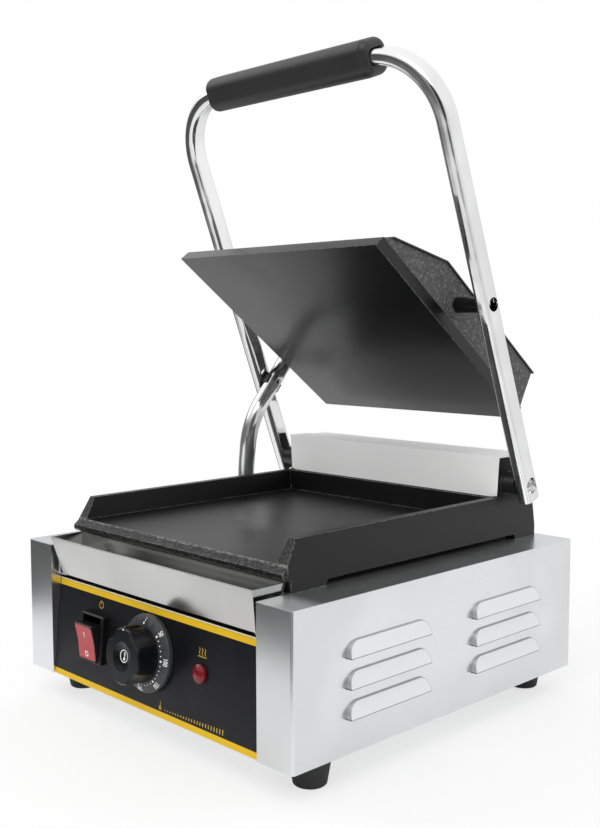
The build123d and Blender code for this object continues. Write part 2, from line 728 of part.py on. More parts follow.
def plate_pins():
    pins = []
    for side in (-1, 1):
        seat = tube_inner_face + tube_wall
        x0, x1 = sorted((side * 90, side * (seat + 1)))
        x2, x3 = sorted((side * (seat + 0.6), side * (seat + 3.4)))
        pin = rod_x(x0, x1, 0, 0, pin_r) + rod_x(x2, x3, 0, 0, 4.8)
        x4, x5 = sorted((side * (seat + 2.2), side * (seat + 5)))
        slot = box(x4, x5, -0.6, 0.6, -6, 6)
        pins.append(plate * (pin - slot))
    return group(pins)


def pin_sleeve(side):
    x0, x1 = sorted((side * (boss_x + 0.02), side * (tube_inner_face - 0.3)))
    return plate * (rod_x(x0, x1, 0, 0, sleeve_r) - rod_x(x0 - 1, x1 + 1, 0, 0, pin_r))


# Conduit: a smooth metal hose, gland to clip to gland
def on_plate(x, y, h):
    return tuple((plate * Pos(x, y, h - pin_above_face)).position)


clip_x, clip_y, clip_z = conduit_clip
drop_x, drop_y = conduit_drop
upper_route = [
    conduit_clip,
    on_plate(clip_x, drop_y, 82.0),
    on_plate(drop_x, drop_y, 82.0),
    on_plate(drop_x, drop_y, 51.0),
]
clip_direction = (Vector(*upper_route[1]) - Vector(*upper_route[0])).normalized()


def conduit_gland_base():
    x, y = conduit_base
    nut = Pos(x, y, deck_z + 0.02) * hexagon(22.6, 6.5)
    nut += rod_z(x, y, deck_z - 9, deck_z + 0.5, conduit_hole_r - 0.1)
    nut += rod_z(x, y, deck_z + 6, deck_z + 12, conduit_r + 2.0)
    nut -= rod_z(x, y, deck_z - 10, deck_z + 8.0, conduit_bore)
    return nut - rod_z(x, y, deck_z + 8.0, deck_z + 20, conduit_r + 0.3)


def conduit_lower():
    below_clip = Vector(*conduit_clip) - clip_direction * conduit_clip_run
    route = [(*conduit_base, deck_z + 8.0), (*conduit_base, conduit_rise_z), tuple(below_clip), conduit_clip]
    return tube_along(route, conduit_bend_radii, conduit_r, conduit_bore)


def conduit_upper():
    return tube_along(upper_route, 19.0, conduit_r, conduit_bore)


def conduit_clip_ring():
    """Open clip: it holds the conduit from the side of the arm, and its foot is fixed to the tube."""
    ring_plane = Plane(origin=conduit_clip, z_dir=clip_direction)
    seat_x = -tube_inner_face + 0.02
    jaw = extrude(ring_plane * Circle(conduit_r + 1.4), amount=4.0, both=True)
    jaw &= box(seat_x, clip_x + 2.5, clip_y - 30, clip_y + 30, clip_z - 30, clip_z + 30)
    foot_plate = extrude(ring_plane * Circle(9.0), amount=8.0, both=True)
    foot_plate &= box(seat_x, seat_x + 1.6, clip_y - 30, clip_y + 30, clip_z - 30, clip_z + 30)
    return jaw + foot_plate - extrude(ring_plane * Circle(conduit_r + 0.1), amount=20, both=True)


def conduit_gland_plate():
    x, y = drop_x, drop_y
    top = plate_top + cover_sheet + 0.04 - pin_above_face
    seat = 51.0 - pin_above_face
    nut = Pos(x, y, top) * hexagon(21, 6.0) + rod_z(x, y, top + 5.9, top + 13.5, conduit_r + 2.0)
    nut -= rod_z(x, y, top - 1, seat, conduit_bore)
    return plate * (nut - rod_z(x, y, seat, top + 20, conduit_r + 0.3))


def rear_screws():
    screws = []
    for x, z in rear_screw_places:
        head = rod_y(x, depth + 0.02, depth + 2.2, z, 3.8) + rod_y(x, depth - 8, depth + 0.5, z, 1.85)
        screws.append(head - box(x - 2.8, x + 2.8, depth + 1.3, depth + 3, z - 0.5, z + 0.5))
    return group(screws)


parts = {
    "housing_shell": housing_shell(),
    "rear_panel": rear_panel(),
    "bottom_plate": bottom_plate(),
    "control_panel": control_panel(),
    "switch_housing": switch_housing(),
    "switch_rocker": switch_rocker(),
    "dial_bezel": dial_bezel(),
    "control_knob": control_knob(),
    "thermostat_shaft": thermostat_shaft(),
    "thermostat_body": thermostat_body(),
    "lamp_lens": lamp_lens(),
    "lamp_body": lamp_body(),
    "grease_tray": grease_tray(),
    "tray_runners": tray_runners(),
    "lower_casting": lower_casting(),
    "lower_element": lower_element(),
    "lower_clamp_plate": lower_clamp_plate(),
    "clamp_nuts": clamp_nuts(),
    "heat_shield": heat_shield(),
    "terminal_block": terminal_block(),
    "cord_gland": cord_gland(),
    "rear_screws": rear_screws(),
    "hinge_shaft": hinge_shaft(),
    "hinge_bolts": hinge_bolts(),
    "spring_box": spring_box(),
    "handle_frame": handle_frame(),
    "handle_grip": handle_grip(),
    "upper_casting": upper_casting(),
    "upper_cover": upper_cover(),
    "cover_screws": cover_screws(),
    "upper_element": upper_element(),
    "upper_clamp_plate": upper_clamp_plate(),
    "upper_insulation": upper_insulation(),
    "plate_pins": plate_pins(),
    "conduit_gland_base": conduit_gland_base(),
    "conduit_lower": conduit_lower(),
    "conduit_clip": conduit_clip_ring(),
    "conduit_upper": conduit_upper(),
    "conduit_gland_plate": conduit_gland_plate(),
    "foot_screws": group([Pos(x, y, 0) * foot_screw() for x, y in foot_places]),
}
for side, name in ((-1, "left"), (1, "right")):
    parts[f"hinge_bush_{name}"] = hinge_bush(side)
    parts[f"hinge_spacer_{name}"] = hinge_spacer(side)
    parts[f"spring_{name}"] = torsion_spring(side)
    parts[f"spring_collar_{name}"] = spring_collar(side)
    parts[f"pin_sleeve_{name}"] = pin_sleeve(side)
    for place, (x, y) in foot_spots.items():
        parts[f"foot_{place}_{name}"] = Pos(side * x, y, 0) * foot()

# Move everything so that the origin is under the middle of the bounding box
boxes = [part.bounding_box() for part in parts.values()]
middle_y = (min(b.min.Y for b in boxes) + max(b.max.Y for b in boxes)) / 2
for name, part in parts.items():
    export_step(Pos(0, -middle_y, 0) * part, f"parts/{name}.step")

print("shift along Y", round(-middle_y, 3))
print("lid hinge at", 0, round(pivot_y - middle_y, 3), pivot_z)
print("plate pins at", 0, round(pin_y - middle_y, 3), round(pin_z, 3))
print("overall", [round(max(b.max.Y for b in boxes) - min(b.min.Y for b in boxes), 2), max(b.max.Z for b in boxes)])
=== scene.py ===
import json
import math

import bmesh
import bpy
from mathutils import Matrix, Vector


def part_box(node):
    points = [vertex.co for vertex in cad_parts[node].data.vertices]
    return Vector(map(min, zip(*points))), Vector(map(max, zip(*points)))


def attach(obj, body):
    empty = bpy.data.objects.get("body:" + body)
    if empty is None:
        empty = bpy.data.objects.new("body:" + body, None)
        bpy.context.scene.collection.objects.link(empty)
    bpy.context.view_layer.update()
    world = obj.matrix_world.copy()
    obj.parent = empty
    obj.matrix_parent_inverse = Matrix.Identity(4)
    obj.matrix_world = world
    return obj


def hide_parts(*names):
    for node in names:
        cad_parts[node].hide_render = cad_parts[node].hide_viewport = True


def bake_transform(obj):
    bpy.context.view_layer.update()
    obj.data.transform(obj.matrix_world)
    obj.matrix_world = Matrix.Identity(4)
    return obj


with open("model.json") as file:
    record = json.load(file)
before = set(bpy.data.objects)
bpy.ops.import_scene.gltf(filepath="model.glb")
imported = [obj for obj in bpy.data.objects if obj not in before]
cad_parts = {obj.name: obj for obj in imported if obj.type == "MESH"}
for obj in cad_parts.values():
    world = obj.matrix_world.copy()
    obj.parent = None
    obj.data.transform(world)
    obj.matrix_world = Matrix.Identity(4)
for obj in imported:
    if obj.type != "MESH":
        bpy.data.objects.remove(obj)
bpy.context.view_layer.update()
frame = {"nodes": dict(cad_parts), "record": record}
nodes = frame["nodes"]
scene = bpy.context.scene
print("frame loaded")

# Places that the pieces share, in metres
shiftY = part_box("housing_shell")[0].y        # front plane of the housing
deckZ = 0.117
panelLean = math.radians(5.6)
plateTilt = math.radians(37.1)
armAngle = math.radians(69.0)
pivot = Vector((0.0, 0.2524 + shiftY, 0.161))
pinReach = 0.141
pin = pivot + pinReach * Vector((0.0, -math.cos(armAngle), math.sin(armAngle)))
panelOrigin = Vector((0.0, 0.0012 + shiftY, 0.02))
panelFrame = Matrix.Translation(panelOrigin) @ Matrix.Rotation(math.pi / 2 - panelLean, 4, "X")
plateFrame = Matrix.Translation(pin) @ Matrix.Rotation(-plateTilt, 4, "X")
plateFaceZ = -0.0215                         # cooking face of the upper plate, in plateFrame


# Small helpers for node trees
def addNode(tree, kind, **settings):
    node = tree.nodes.new(kind)
    for key, value in settings.items():
        if key in node.inputs:
            node.inputs[key].default_value = value
        else:
            setattr(node, key, value)
    return node


def feed(tree, socket, value):
    if isinstance(value, (int, float, tuple)):
        socket.default_value = value
    else:
        tree.links.new(value, socket)


def addMath(tree, operation, a, b=None, clamp=False):
    node = tree.nodes.new("ShaderNodeMath")
    node.operation = operation
    node.use_clamp = clamp
    feed(tree, node.inputs[0], a)
    if b is not None:
        feed(tree, node.inputs[1], b)
    return node.outputs[0]


def times(tree, a, b):
    return addMath(tree, "MULTIPLY", a, b)


def plus(tree, a, b, clamp=False):
    return addMath(tree, "ADD", a, b, clamp)


def minus(tree, a, b):
    return addMath(tree, "SUBTRACT", a, b)


def larger(tree, a, b):
    return addMath(tree, "MAXIMUM", a, b)


def absolute(tree, a):
    return addMath(tree, "ABSOLUTE", a)


def square(tree, a):
    return addMath(tree, "POWER", a, 2.0)


# Soft step from atLow to atHigh while value goes from low to high
def addStep(tree, value, low, high, atLow=0.0, atHigh=1.0):
    step = addNode(tree, "ShaderNodeMapRange", interpolation_type="SMOOTHSTEP")
    feed(tree, step.inputs["Value"], value)
    step.inputs["From Min"].default_value = low
    step.inputs["From Max"].default_value = high
    step.inputs["To Min"].default_value = atLow
    step.inputs["To Max"].default_value = atHigh
    return step.outputs["Result"]


# One below low, zero above high
def addFall(tree, value, low, high):
    return addStep(tree, value, low, high, 1.0, 0.0)


# One between low and high, zero outside
def addBand(tree, value, low, high, soft):
    rise = addStep(tree, value, low - soft, low + soft)
    return times(tree, rise, addFall(tree, value, high - soft, high + soft))


# addMix is for colours, addBlend for numbers
def addMix(tree, factor, a, b):
    mix = addNode(tree, "ShaderNodeMix", data_type="RGBA")
    feed(tree, mix.inputs["Factor"], factor)
    feed(tree, mix.inputs[6], (*a, 1.0) if isinstance(a, tuple) else a)
    feed(tree, mix.inputs[7], (*b, 1.0) if isinstance(b, tuple) else b)
    return mix.outputs[2]


def addBlend(tree, factor, a, b):
    mix = addNode(tree, "ShaderNodeMix")
    feed(tree, mix.inputs["Factor"], factor)
    feed(tree, mix.inputs["A"], a)
    feed(tree, mix.inputs["B"], b)
    return mix.outputs["Result"]


def addNoise(tree, vector, scale, detail=2.0, roughness=0.5):
    noise = addNode(tree, "ShaderNodeTexNoise", Scale=scale, Detail=detail, Roughness=roughness)
    tree.links.new(vector, noise.inputs["Vector"])
    return noise.outputs["Fac"]


def splitVector(tree, vector):
    split = addNode(tree, "ShaderNodeSeparateXYZ")
    tree.links.new(vector, split.inputs[0])
    return split.outputs


def shaded(color, factor):
    return tuple(factor * c for c in color)


# Node groups for effects that several finishes use. Each takes a vector and one setting.
# In all the dictionaries a noise is (scale, detail) or (scale, detail, roughness).
def newGroup(name, setting, value, results):
    group = bpy.data.node_groups.new(name, "ShaderNodeTree")
    group.interface.new_socket(name="Vector", in_out="INPUT", socket_type="NodeSocketVector")
    socket = group.interface.new_socket(name=setting, in_out="INPUT", socket_type="NodeSocketFloat")
    socket.default_value = value
    for result in results:
        group.interface.new_socket(name=result, in_out="OUTPUT", socket_type="NodeSocketFloat")
    start = group.nodes.new("NodeGroupInput")
    end = group.nodes.new("NodeGroupOutput")
    return group, start, end


grainLook = {
    "scale": 900.0, "stretch": (0.02, 1.0, 1.0), "detail": 2.0, "roughness": 0.6,
    "cloud": (11.0, 3.0), "fleck": (340.0, 1.0),
    "fleckFrom": (0.76, 0.8), "fleckZones": (0.52, 0.62),
}


# Fine drawn grain along X, and large soft clouds
def brushedGroup():
    results = ("Height", "Cloud", "Marks")
    group, start, end = newGroup("brushedGrain", "Scale", grainLook["scale"], results)
    stretch = addNode(group, "ShaderNodeMapping")
    stretch.inputs["Scale"].default_value = grainLook["stretch"]
    group.links.new(start.outputs["Vector"], stretch.inputs["Vector"])
    grain = addNode(
        group, "ShaderNodeTexNoise", Detail=grainLook["detail"], Roughness=grainLook["roughness"],
    )
    group.links.new(stretch.outputs[0], grain.inputs["Vector"])
    group.links.new(start.outputs["Scale"], grain.inputs["Scale"])
    cloud = addNoise(group, start.outputs["Vector"], *grainLook["cloud"])
    fleck = addNoise(group, start.outputs["Vector"], *grainLook["fleck"])
    marks = times(
        group,
        addStep(group, fleck, *grainLook["fleckFrom"]),
        addStep(group, cloud, *grainLook["fleckZones"]),
    )
    group.links.new(grain.outputs["Fac"], end.inputs["Height"])
    group.links.new(cloud, end.inputs["Cloud"])
    group.links.new(marks, end.inputs["Marks"])
    return group


skinLook = {
    "scale": 700.0, "detail": 4.0, "roughness": 0.65,
    "speckleFrom": (0.5, 0.66),
    "cloud": (18.0, 3.0),
}


# Sandy cast skin: a bump height and light specks
def castGroup():
    results = ("Height", "Speckle", "Cloud")
    group, start, end = newGroup("castSkin", "Scale", skinLook["scale"], results)
    coarse = addNode(
        group, "ShaderNodeTexNoise", Detail=skinLook["detail"], Roughness=skinLook["roughness"],
    )
    pits = addNode(group, "ShaderNodeTexVoronoi", feature="F1")
    for texture in (coarse, pits):
        group.links.new(start.outputs["Vector"], texture.inputs["Vector"])
        group.links.new(start.outputs["Scale"], texture.inputs["Scale"])
    height = times(group, coarse.outputs["Fac"], pits.outputs["Distance"])
    speckle = addStep(group, coarse.outputs["Fac"], *skinLook["speckleFrom"])
    cloud = addNoise(group, start.outputs["Vector"], *skinLook["cloud"])
    group.links.new(height, end.inputs["Height"])
    group.links.new(speckle, end.inputs["Speckle"])
    group.links.new(cloud, end.inputs["Cloud"])
    return group


wearLook = {"amount": 0.6, "patches": (420.0, 4.0, 0.65), "patchFrom": (0.4, 0.6)}


# Patchy wear on the bevelled rims, which carry the attribute rim
def wearGroup():
    group, start, end = newGroup("edgeWear", "Amount", wearLook["amount"], ("Mask",))
    rim = addNode(group, "ShaderNodeAttribute", attribute_name="rim")
    patches = addNoise(group, start.outputs["Vector"], *wearLook["patches"])
    worn = times(group, rim.outputs["Fac"], addStep(group, patches, *wearLook["patchFrom"]))
    group.links.new(times(group, worn, start.outputs["Amount"]), end.inputs["Mask"])
    return group


brushedGrain = brushedGroup()
castSkin = castGroup()
edgeWear = wearGroup()


def newMaterial(name, color, metallic=0.0, roughness=0.5):
    material = bpy.data.materials.new(name)
    material.use_nodes = True
    tree = material.node_tree
    shader = tree.nodes["Principled BSDF"]
    shader.inputs["Base Color"].default_value = (*color, 1.0)
    shader.inputs["Metallic"].default_value = metallic
    shader.inputs["Roughness"].default_value = roughness
    return material, tree, shader


def objectVector(tree, rotation=(0, 0, 0), location=(0, 0, 0)):
    place = addNode(tree, "ShaderNodeTexCoord")
    move = addNode(tree, "ShaderNodeMapping")
    move.inputs["Location"].default_value = location
    move.inputs["Rotation"].default_value = rotation
    tree.links.new(place.outputs["Object"], move.inputs["Vector"])
    return move.outputs[0]


# Coordinates in a leaning frame of reference
def localVector(tree, placed):
    inverse = placed.inverted()
    return objectVector(tree, inverse.to_euler(), inverse.translation)


def addGroup(tree, group, vector, **settings):
    node = addNode(tree, "ShaderNodeGroup", node_tree=group)
    tree.links.new(vector, node.inputs["Vector"])
    for key, value in settings.items():
        feed(tree, node.inputs[key], value)
    return node.outputs


def addBump(tree, shader, height, strength, distance):
    bump = addNode(tree, "ShaderNodeBump", Strength=strength, Distance=distance)
    tree.links.new(height, bump.inputs["Height"])
    tree.links.new(bump.outputs["Normal"], shader.inputs["Normal"])


metalLook = {"cloudFrom": (0.35, 0.65), "marks": 0.8, "rims": 1.12, "roughSpan": 0.12, "bump": 0.0001}


# shade darkens the clouds, strength is the grain's relief and waves the sheet's slow unevenness
def brushedMetal(
    name, color, roughness, rotation=(0, 0, 0), strength=0.2, wear=0.5, shade=0.92, metallic=1.0, waves=0.0,
):
    material, tree, shader = newMaterial(name, color, metallic, roughness)
    vector = objectVector(tree, rotation)
    grain = addGroup(tree, brushedGrain, vector)
    worn = addGroup(tree, edgeWear, vector, Amount=wear)
    light = tuple(min(1.0, metalLook["rims"] * c) for c in color)
    tint = addMix(tree, addStep(tree, grain["Cloud"], *metalLook["cloudFrom"]), shaded(color, shade), color)
    tint = addMix(tree, grain["Marks"], tint, shaded(color, metalLook["marks"]))
    tint = addMix(tree, worn["Mask"], tint, light)
    tree.links.new(tint, shader.inputs["Base Color"])
    rough = times(tree, grain["Cloud"], metalLook["roughSpan"])
    rough = plus(tree, rough, roughness - metalLook["roughSpan"] / 2)
    tree.links.new(rough, shader.inputs["Roughness"])
    relief = plus(tree, times(tree, grain["Height"], strength), times(tree, grain["Cloud"], waves))
    addBump(tree, shader, relief, 1.0, metalLook["bump"])
    return material


louvre = {
    "middleY": 0.145, "halfSpacing": 0.062, "halfLength": 0.038,
    "firstSill": 0.042, "pitch": 0.0188, "rows": 3,
    "tall": 0.0105, "corner": 0.009, "below": 0.004,
    "rowFrom": 0.003, "rowTo": 0.013, "rowSoft": 0.0004,
    "line": 0.00022, "lineFade": 2.4,
    "slitFrom": (0.0004, 0.0009),
    "sideFrom": (0.1446, 0.1448),
    "proudFrom": (0.1453, 0.1462),
    "outlineShadeColor": (0.45, 0.46, 0.48),
    "slitShadeColor": (0.1, 0.1, 0.11),
    "proudColor": (0.79, 0.8, 0.815),
    "paintedLightMetallic": 0.25,
}
housingLook = {
    "color": (0.79, 0.80, 0.81),
    "roughness": 0.25,
    "topFrom": (deckZ - 0.0006, deckZ - 0.0003),
    "frontFade": (shiftY + 0.012, shiftY + 0.03),
    "frontPaintedSheen": (0.55, 0.08),
}


# Distance from the outline of the nearest louvre, negative inside, and the height over its sill
def louvreDistance(tree, part):
    fromMiddle = absolute(tree, minus(tree, part["Y"], louvre["middleY"] + shiftY))
    u = absolute(tree, minus(tree, fromMiddle, louvre["halfSpacing"]))
    raised = minus(tree, part["Z"], louvre["firstSill"] - louvre["below"])
    row = addMath(tree, "FLOORED_MODULO", raised, louvre["pitch"])
    v = minus(tree, row, louvre["below"])
    corner = louvre["corner"]
    outU = minus(tree, u, louvre["halfLength"] - corner)
    outV = minus(tree, v, louvre["tall"] - corner)
    overU = square(tree, larger(tree, outU, 0.0))
    overV = square(tree, larger(tree, outV, 0.0))
    rounded = addMath(tree, "SQRT", plus(tree, overU, overV))
    flat = addMath(tree, "MINIMUM", larger(tree, outU, outV), 0.0)
    far = minus(tree, plus(tree, rounded, flat), corner)
    return larger(tree, far, times(tree, v, -1.0)), v


# Drawn steel. The proud louvres are matter, so they come out lighter: painted light. Their outlines and open
# slits show as thin darker lines: painted shade.
def housingSteel():
    material = brushedMetal(
        "housingSteel", housingLook["color"], housingLook["roughness"], rotation=(0, 0, math.pi / 2),
        strength=0.03, shade=0.9, waves=1.5,
    )
    tree = material.node_tree
    shader = tree.nodes["Principled BSDF"]
    part = splitVector(tree, objectVector(tree))
    side = absolute(tree, part["X"])
    far, v = louvreDistance(tree, part)
    lowest = louvre["firstSill"] - louvre["rowFrom"]
    highest = louvre["firstSill"] + (louvre["rows"] - 1) * louvre["pitch"] + louvre["rowTo"]
    rows = addBand(tree, part["Z"], lowest, highest, louvre["rowSoft"])
    atSide = times(tree, rows, addStep(tree, side, *louvre["sideFrom"]))
    thin = louvre["line"]
    line = times(tree, addFall(tree, absolute(tree, far), thin, louvre["lineFade"] * thin), atSide)
    slitShadeMask = times(tree, line, addFall(tree, absolute(tree, v), *louvre["slitFrom"]))
    proud = times(tree, atSide, addStep(tree, side, *louvre["proudFrom"]))
    steel = shader.inputs["Base Color"].links[0].from_socket
    tint = addMix(tree, proud, steel, louvre["proudColor"])
    tint = addMix(tree, line, tint, louvre["outlineShadeColor"])
    tree.links.new(addMix(tree, slitShadeMask, tint, louvre["slitShadeColor"]), shader.inputs["Base Color"])
    # Painted sheen: the deck's top near the front is made matter, so that it comes out lighter
    nearFront = addStep(tree, part["Y"], *housingLook["frontFade"], *housingLook["frontPaintedSheen"])
    paintedTopSheen = times(tree, addStep(tree, part["Z"], *housingLook["topFrom"]), nearFront)
    paintedLightMatt = larger(tree, larger(tree, proud, line), paintedTopSheen)
    metal = minus(tree, 1.0, times(tree, paintedLightMatt, 1.0 - louvre["paintedLightMetallic"]))
    tree.links.new(metal, shader.inputs["Metallic"])
    return material


# What both castings share, then the look of each
ironLook = {
    "scale": 620.0,
    "cloudFrom": (0.35, 0.65),
    "cloudShade": 0.8,
    "roughSpan": 0.12,
    "paintedShade": (0.004, 0.004, 0.004),
    "paintedShadeRough": 0.4,
    "bump": 0.0009,
}
griddleLook = {
    "smooth": (0.006, 0.006, 0.0062),
    "smoothRoughness": 0.34,
    "rough": (0.006, 0.006, 0.006),
    "roughRoughness": 0.42,
    "speckle": (0.08, 0.08, 0.078), "rim": (0.6, 0.6, 0.58), "paintedSheen": (0.12, 0.12, 0.12),
    "wear": 1.0, "ior": 1.38, "relief": 0.7, "smoothRelief": 0.12,
}
plateLook = {
    "smooth": (0.005, 0.005, 0.0052),
    "smoothRoughness": 0.24,
    "rough": (0.07, 0.07, 0.07),
    "roughRoughness": 0.6,
    "speckle": (0.2, 0.2, 0.2), "rim": (0.2, 0.2, 0.19), "paintedSheen": (0.085, 0.085, 0.085),
    "wear": 0.6, "ior": 1.42, "relief": 0.6, "smoothRelief": 0.03,
}


# Black iron: satin where it is machined or coated, sandy and lighter in its rough zones
def castIron(name, look, vectorMaker, roughZones, paintedShadeZones, paintedSheenZones, highlightZones):
    material, tree, shader = newMaterial(name, look["smooth"], 0.0, look["smoothRoughness"])
    vector = objectVector(tree)
    skin = addGroup(tree, castSkin, vector, Scale=ironLook["scale"])
    worn = addGroup(tree, edgeWear, vector, Amount=look["wear"])
    rough = roughZones(tree, vectorMaker(tree))
    cloud = addStep(tree, skin["Cloud"], *ironLook["cloudFrom"])
    smooth = addMix(tree, cloud, shaded(look["smooth"], ironLook["cloudShade"]), look["smooth"])
    # Painted sheen: lighter where the sheen zones say
    smooth = addMix(tree, paintedSheenZones(tree, vectorMaker(tree)), smooth, look["paintedSheen"])
    sandy = addMix(tree, skin["Speckle"], look["rough"], look["speckle"])
    tint = addMix(tree, rough, smooth, sandy)
    # Painted highlight, partly wear: worn rims and the highlight zones take the rim colour
    tint = addMix(tree, larger(tree, worn["Mask"], highlightZones(tree, vector)), tint, look["rim"])
    # Painted shade: darker and rougher in the shaded zones
    paintedShade = paintedShadeZones(tree, vector)
    tree.links.new(addMix(tree, paintedShade, tint, ironLook["paintedShade"]), shader.inputs["Base Color"])
    satin = times(tree, skin["Cloud"], ironLook["roughSpan"])
    satin = plus(tree, satin, look["smoothRoughness"] - ironLook["roughSpan"] / 2)
    span = times(tree, rough, look["roughRoughness"] - look["smoothRoughness"])
    roughness = plus(tree, plus(tree, satin, span), times(tree, paintedShade, ironLook["paintedShadeRough"]), clamp=True)
    tree.links.new(roughness, shader.inputs["Roughness"])
    shader.inputs["IOR"].default_value = look["ior"]
    relief = plus(tree, times(tree, rough, 1.0 - look["smoothRelief"]), look["smoothRelief"])
    addBump(tree, shader, times(tree, skin["Height"], relief), look["relief"], ironLook["bump"])
    return material


plasticLook = {"cloudFrom": (0.3, 0.7), "cloudShade": 0.85, "paler": 0.06, "roughSpan": 0.14, "bump": 0.0001}


def plainPlastic(name, color, roughness, strength=0.1, scale=1500.0, wear=0.25, ior=1.5):
    material, tree, shader = newMaterial(name, color, 0.0, roughness)
    shader.inputs["IOR"].default_value = ior
    vector = objectVector(tree)
    skin = addGroup(tree, castSkin, vector, Scale=scale)
    worn = addGroup(tree, edgeWear, vector, Amount=wear)
    pale = tuple(min(1.0, c + plasticLook["paler"]) for c in color)
    cloud = addStep(tree, skin["Cloud"], *plasticLook["cloudFrom"])
    tint = addMix(tree, cloud, shaded(color, plasticLook["cloudShade"]), color)
    tree.links.new(addMix(tree, worn["Mask"], tint, pale), shader.inputs["Base Color"])
    haze = times(tree, skin["Cloud"], plasticLook["roughSpan"])
    haze = plus(tree, haze, roughness - plasticLook["roughSpan"] / 2)
    tree.links.new(haze, shader.inputs["Roughness"])
    addBump(tree, shader, skin["Height"], strength, plasticLook["bump"])
    return material


# Zones of the two castings. Distances along Y count from the housing's front plane,
# only the painted sheen streak's centre is a place in the scene.
lipZone = {
    "wander": (420.0, 2.0),
    "wanderBy": 0.0016,
    "front": (0.0256, 0.0262),
    "aboveLip": (0.1288, 0.1296),
    "lipEdge": (0.1265, 0.1275),
    "wallSlope": 1.74,
    "wallEnd": (0.0895, 0.0902),
    "wallX": (0.1035, 0.1042),
    "nearFront": (0.0345, 0.036),
}
hingeShadeZone = {"behind": (0.236, 0.243), "above": (0.142, 0.152)}
lipHighlight = {
    "wander": (300.0, 2.0),
    "wanderBy": 0.0012,
    "line": (0.0251, 0.0262),
    "soft": 0.0002,
    "above": (0.129, 0.1295),
    "patches": (260.0, 3.0, 0.6),
    "patchFrom": (0.36, 0.66),
    "patchLevels": (0.03, 0.28),
}
sheenStreak = {
    "centre": (-0.03, -0.015),
    "turn": -0.715,
    "half": (0.075, 0.017),
    "waves": (60.0, 3.0),
    "wavesBy": 0.02,
    "level": 0.75,
}
plateSheen = {"waves": (14.0, 3.0), "wavesBy": 0.08, "fade": (-0.04, 0.07)}
plateCastFrom = (0.0088, 0.0098)             # over the cooking face


def behindFront(span):
    return shiftY + span[0], shiftY + span[1]


# The drip lip's upper edge and the sloping front ends of the walls are left as cast
def griddleZones(tree, vector):
    part = splitVector(tree, vector)
    wander = times(tree, addNoise(tree, vector, *lipZone["wander"]), lipZone["wanderBy"])
    front = plus(tree, part["Y"], wander)
    atFront = addFall(tree, front, *behindFront(lipZone["front"]))
    aboveLip = addStep(tree, part["Z"], *lipZone["aboveLip"])
    lean = lipZone["wallSlope"]
    slope = minus(tree, part["Z"], times(tree, part["Y"], lean))
    low, high = lipZone["wallEnd"]
    wallEnd = addStep(tree, slope, low - lean * shiftY, high - lean * shiftY)
    atWall = addStep(tree, absolute(tree, part["X"]), *lipZone["wallX"])
    wallEnd = times(tree, wallEnd, times(tree, atWall, aboveLip))
    wallEnd = times(tree, wallEnd, addFall(tree, part["Y"], *behindFront(lipZone["nearFront"])))
    lipEdge = times(tree, atFront, addStep(tree, part["Z"], *lipZone["lipEdge"]))
    return larger(tree, wallEnd, lipEdge)


# Painted shade darkens the cheeks round the hinge, where the arms shade them
def paintedHingeShade(tree, vector):
    part = splitVector(tree, vector)
    back = addStep(tree, part["Y"], *behindFront(hingeShadeZone["behind"]))
    return times(tree, back, addStep(tree, part["Z"], *hingeShadeZone["above"]))


def nowhere(tree, vector):
    return 0.0


# Painted highlight, partly wear: a bright line where the lip meets the cooking face
def paintedLipHighlight(tree, vector):
    part = splitVector(tree, vector)
    wander = times(tree, addNoise(tree, vector, *lipHighlight["wander"]), lipHighlight["wanderBy"])
    front = plus(tree, part["Y"], wander)
    line = addBand(tree, front, *behindFront(lipHighlight["line"]), lipHighlight["soft"])
    line = times(tree, line, addStep(tree, part["Z"], *lipHighlight["above"]))
    patches = addNoise(tree, vector, *lipHighlight["patches"])
    return times(tree, line, addStep(tree, patches, *lipHighlight["patchFrom"], *lipHighlight["patchLevels"]))


# Painted sheen: a lighter streak in the middle of the griddle, standing in for the hose's reflection
def griddlePaintedSheen(tree, vector):
    part = splitVector(tree, vector)
    fromX = minus(tree, part["X"], sheenStreak["centre"][0])
    fromY = minus(tree, part["Y"], sheenStreak["centre"][1])
    c = math.cos(sheenStreak["turn"])
    s = math.sin(sheenStreak["turn"])
    u = plus(tree, times(tree, fromX, c), times(tree, fromY, s))
    v = minus(tree, times(tree, fromY, c), times(tree, fromX, s))
    waves = minus(tree, addNoise(tree, vector, *sheenStreak["waves"]), 0.5)
    v = plus(tree, v, times(tree, waves, sheenStreak["wavesBy"]))
    u = square(tree, addMath(tree, "DIVIDE", u, sheenStreak["half"][0]))
    v = square(tree, absolute(tree, addMath(tree, "DIVIDE", v, sheenStreak["half"][1])))
    return addStep(tree, plus(tree, u, v), 0.0, 1.0, sheenStreak["level"], 0.0)


# Painted sheen: the left half of the cooking face is made greyer, standing in for the light it reflects
def platePaintedSheen(tree, vector):
    part = splitVector(tree, vector)
    wander = times(tree, addNoise(tree, vector, *plateSheen["waves"]), plateSheen["wavesBy"])
    return addFall(tree, plus(tree, part["X"], wander), *plateSheen["fade"])


def plateVector(tree):
    return localVector(tree, plateFrame)


# Everything above the machined strip is left as cast
def plateZones(tree, vector):
    part = splitVector(tree, vector)
    return addStep(tree, part["Z"], plateFaceZ + plateCastFrom[0], plateFaceZ + plateCastFrom[1])


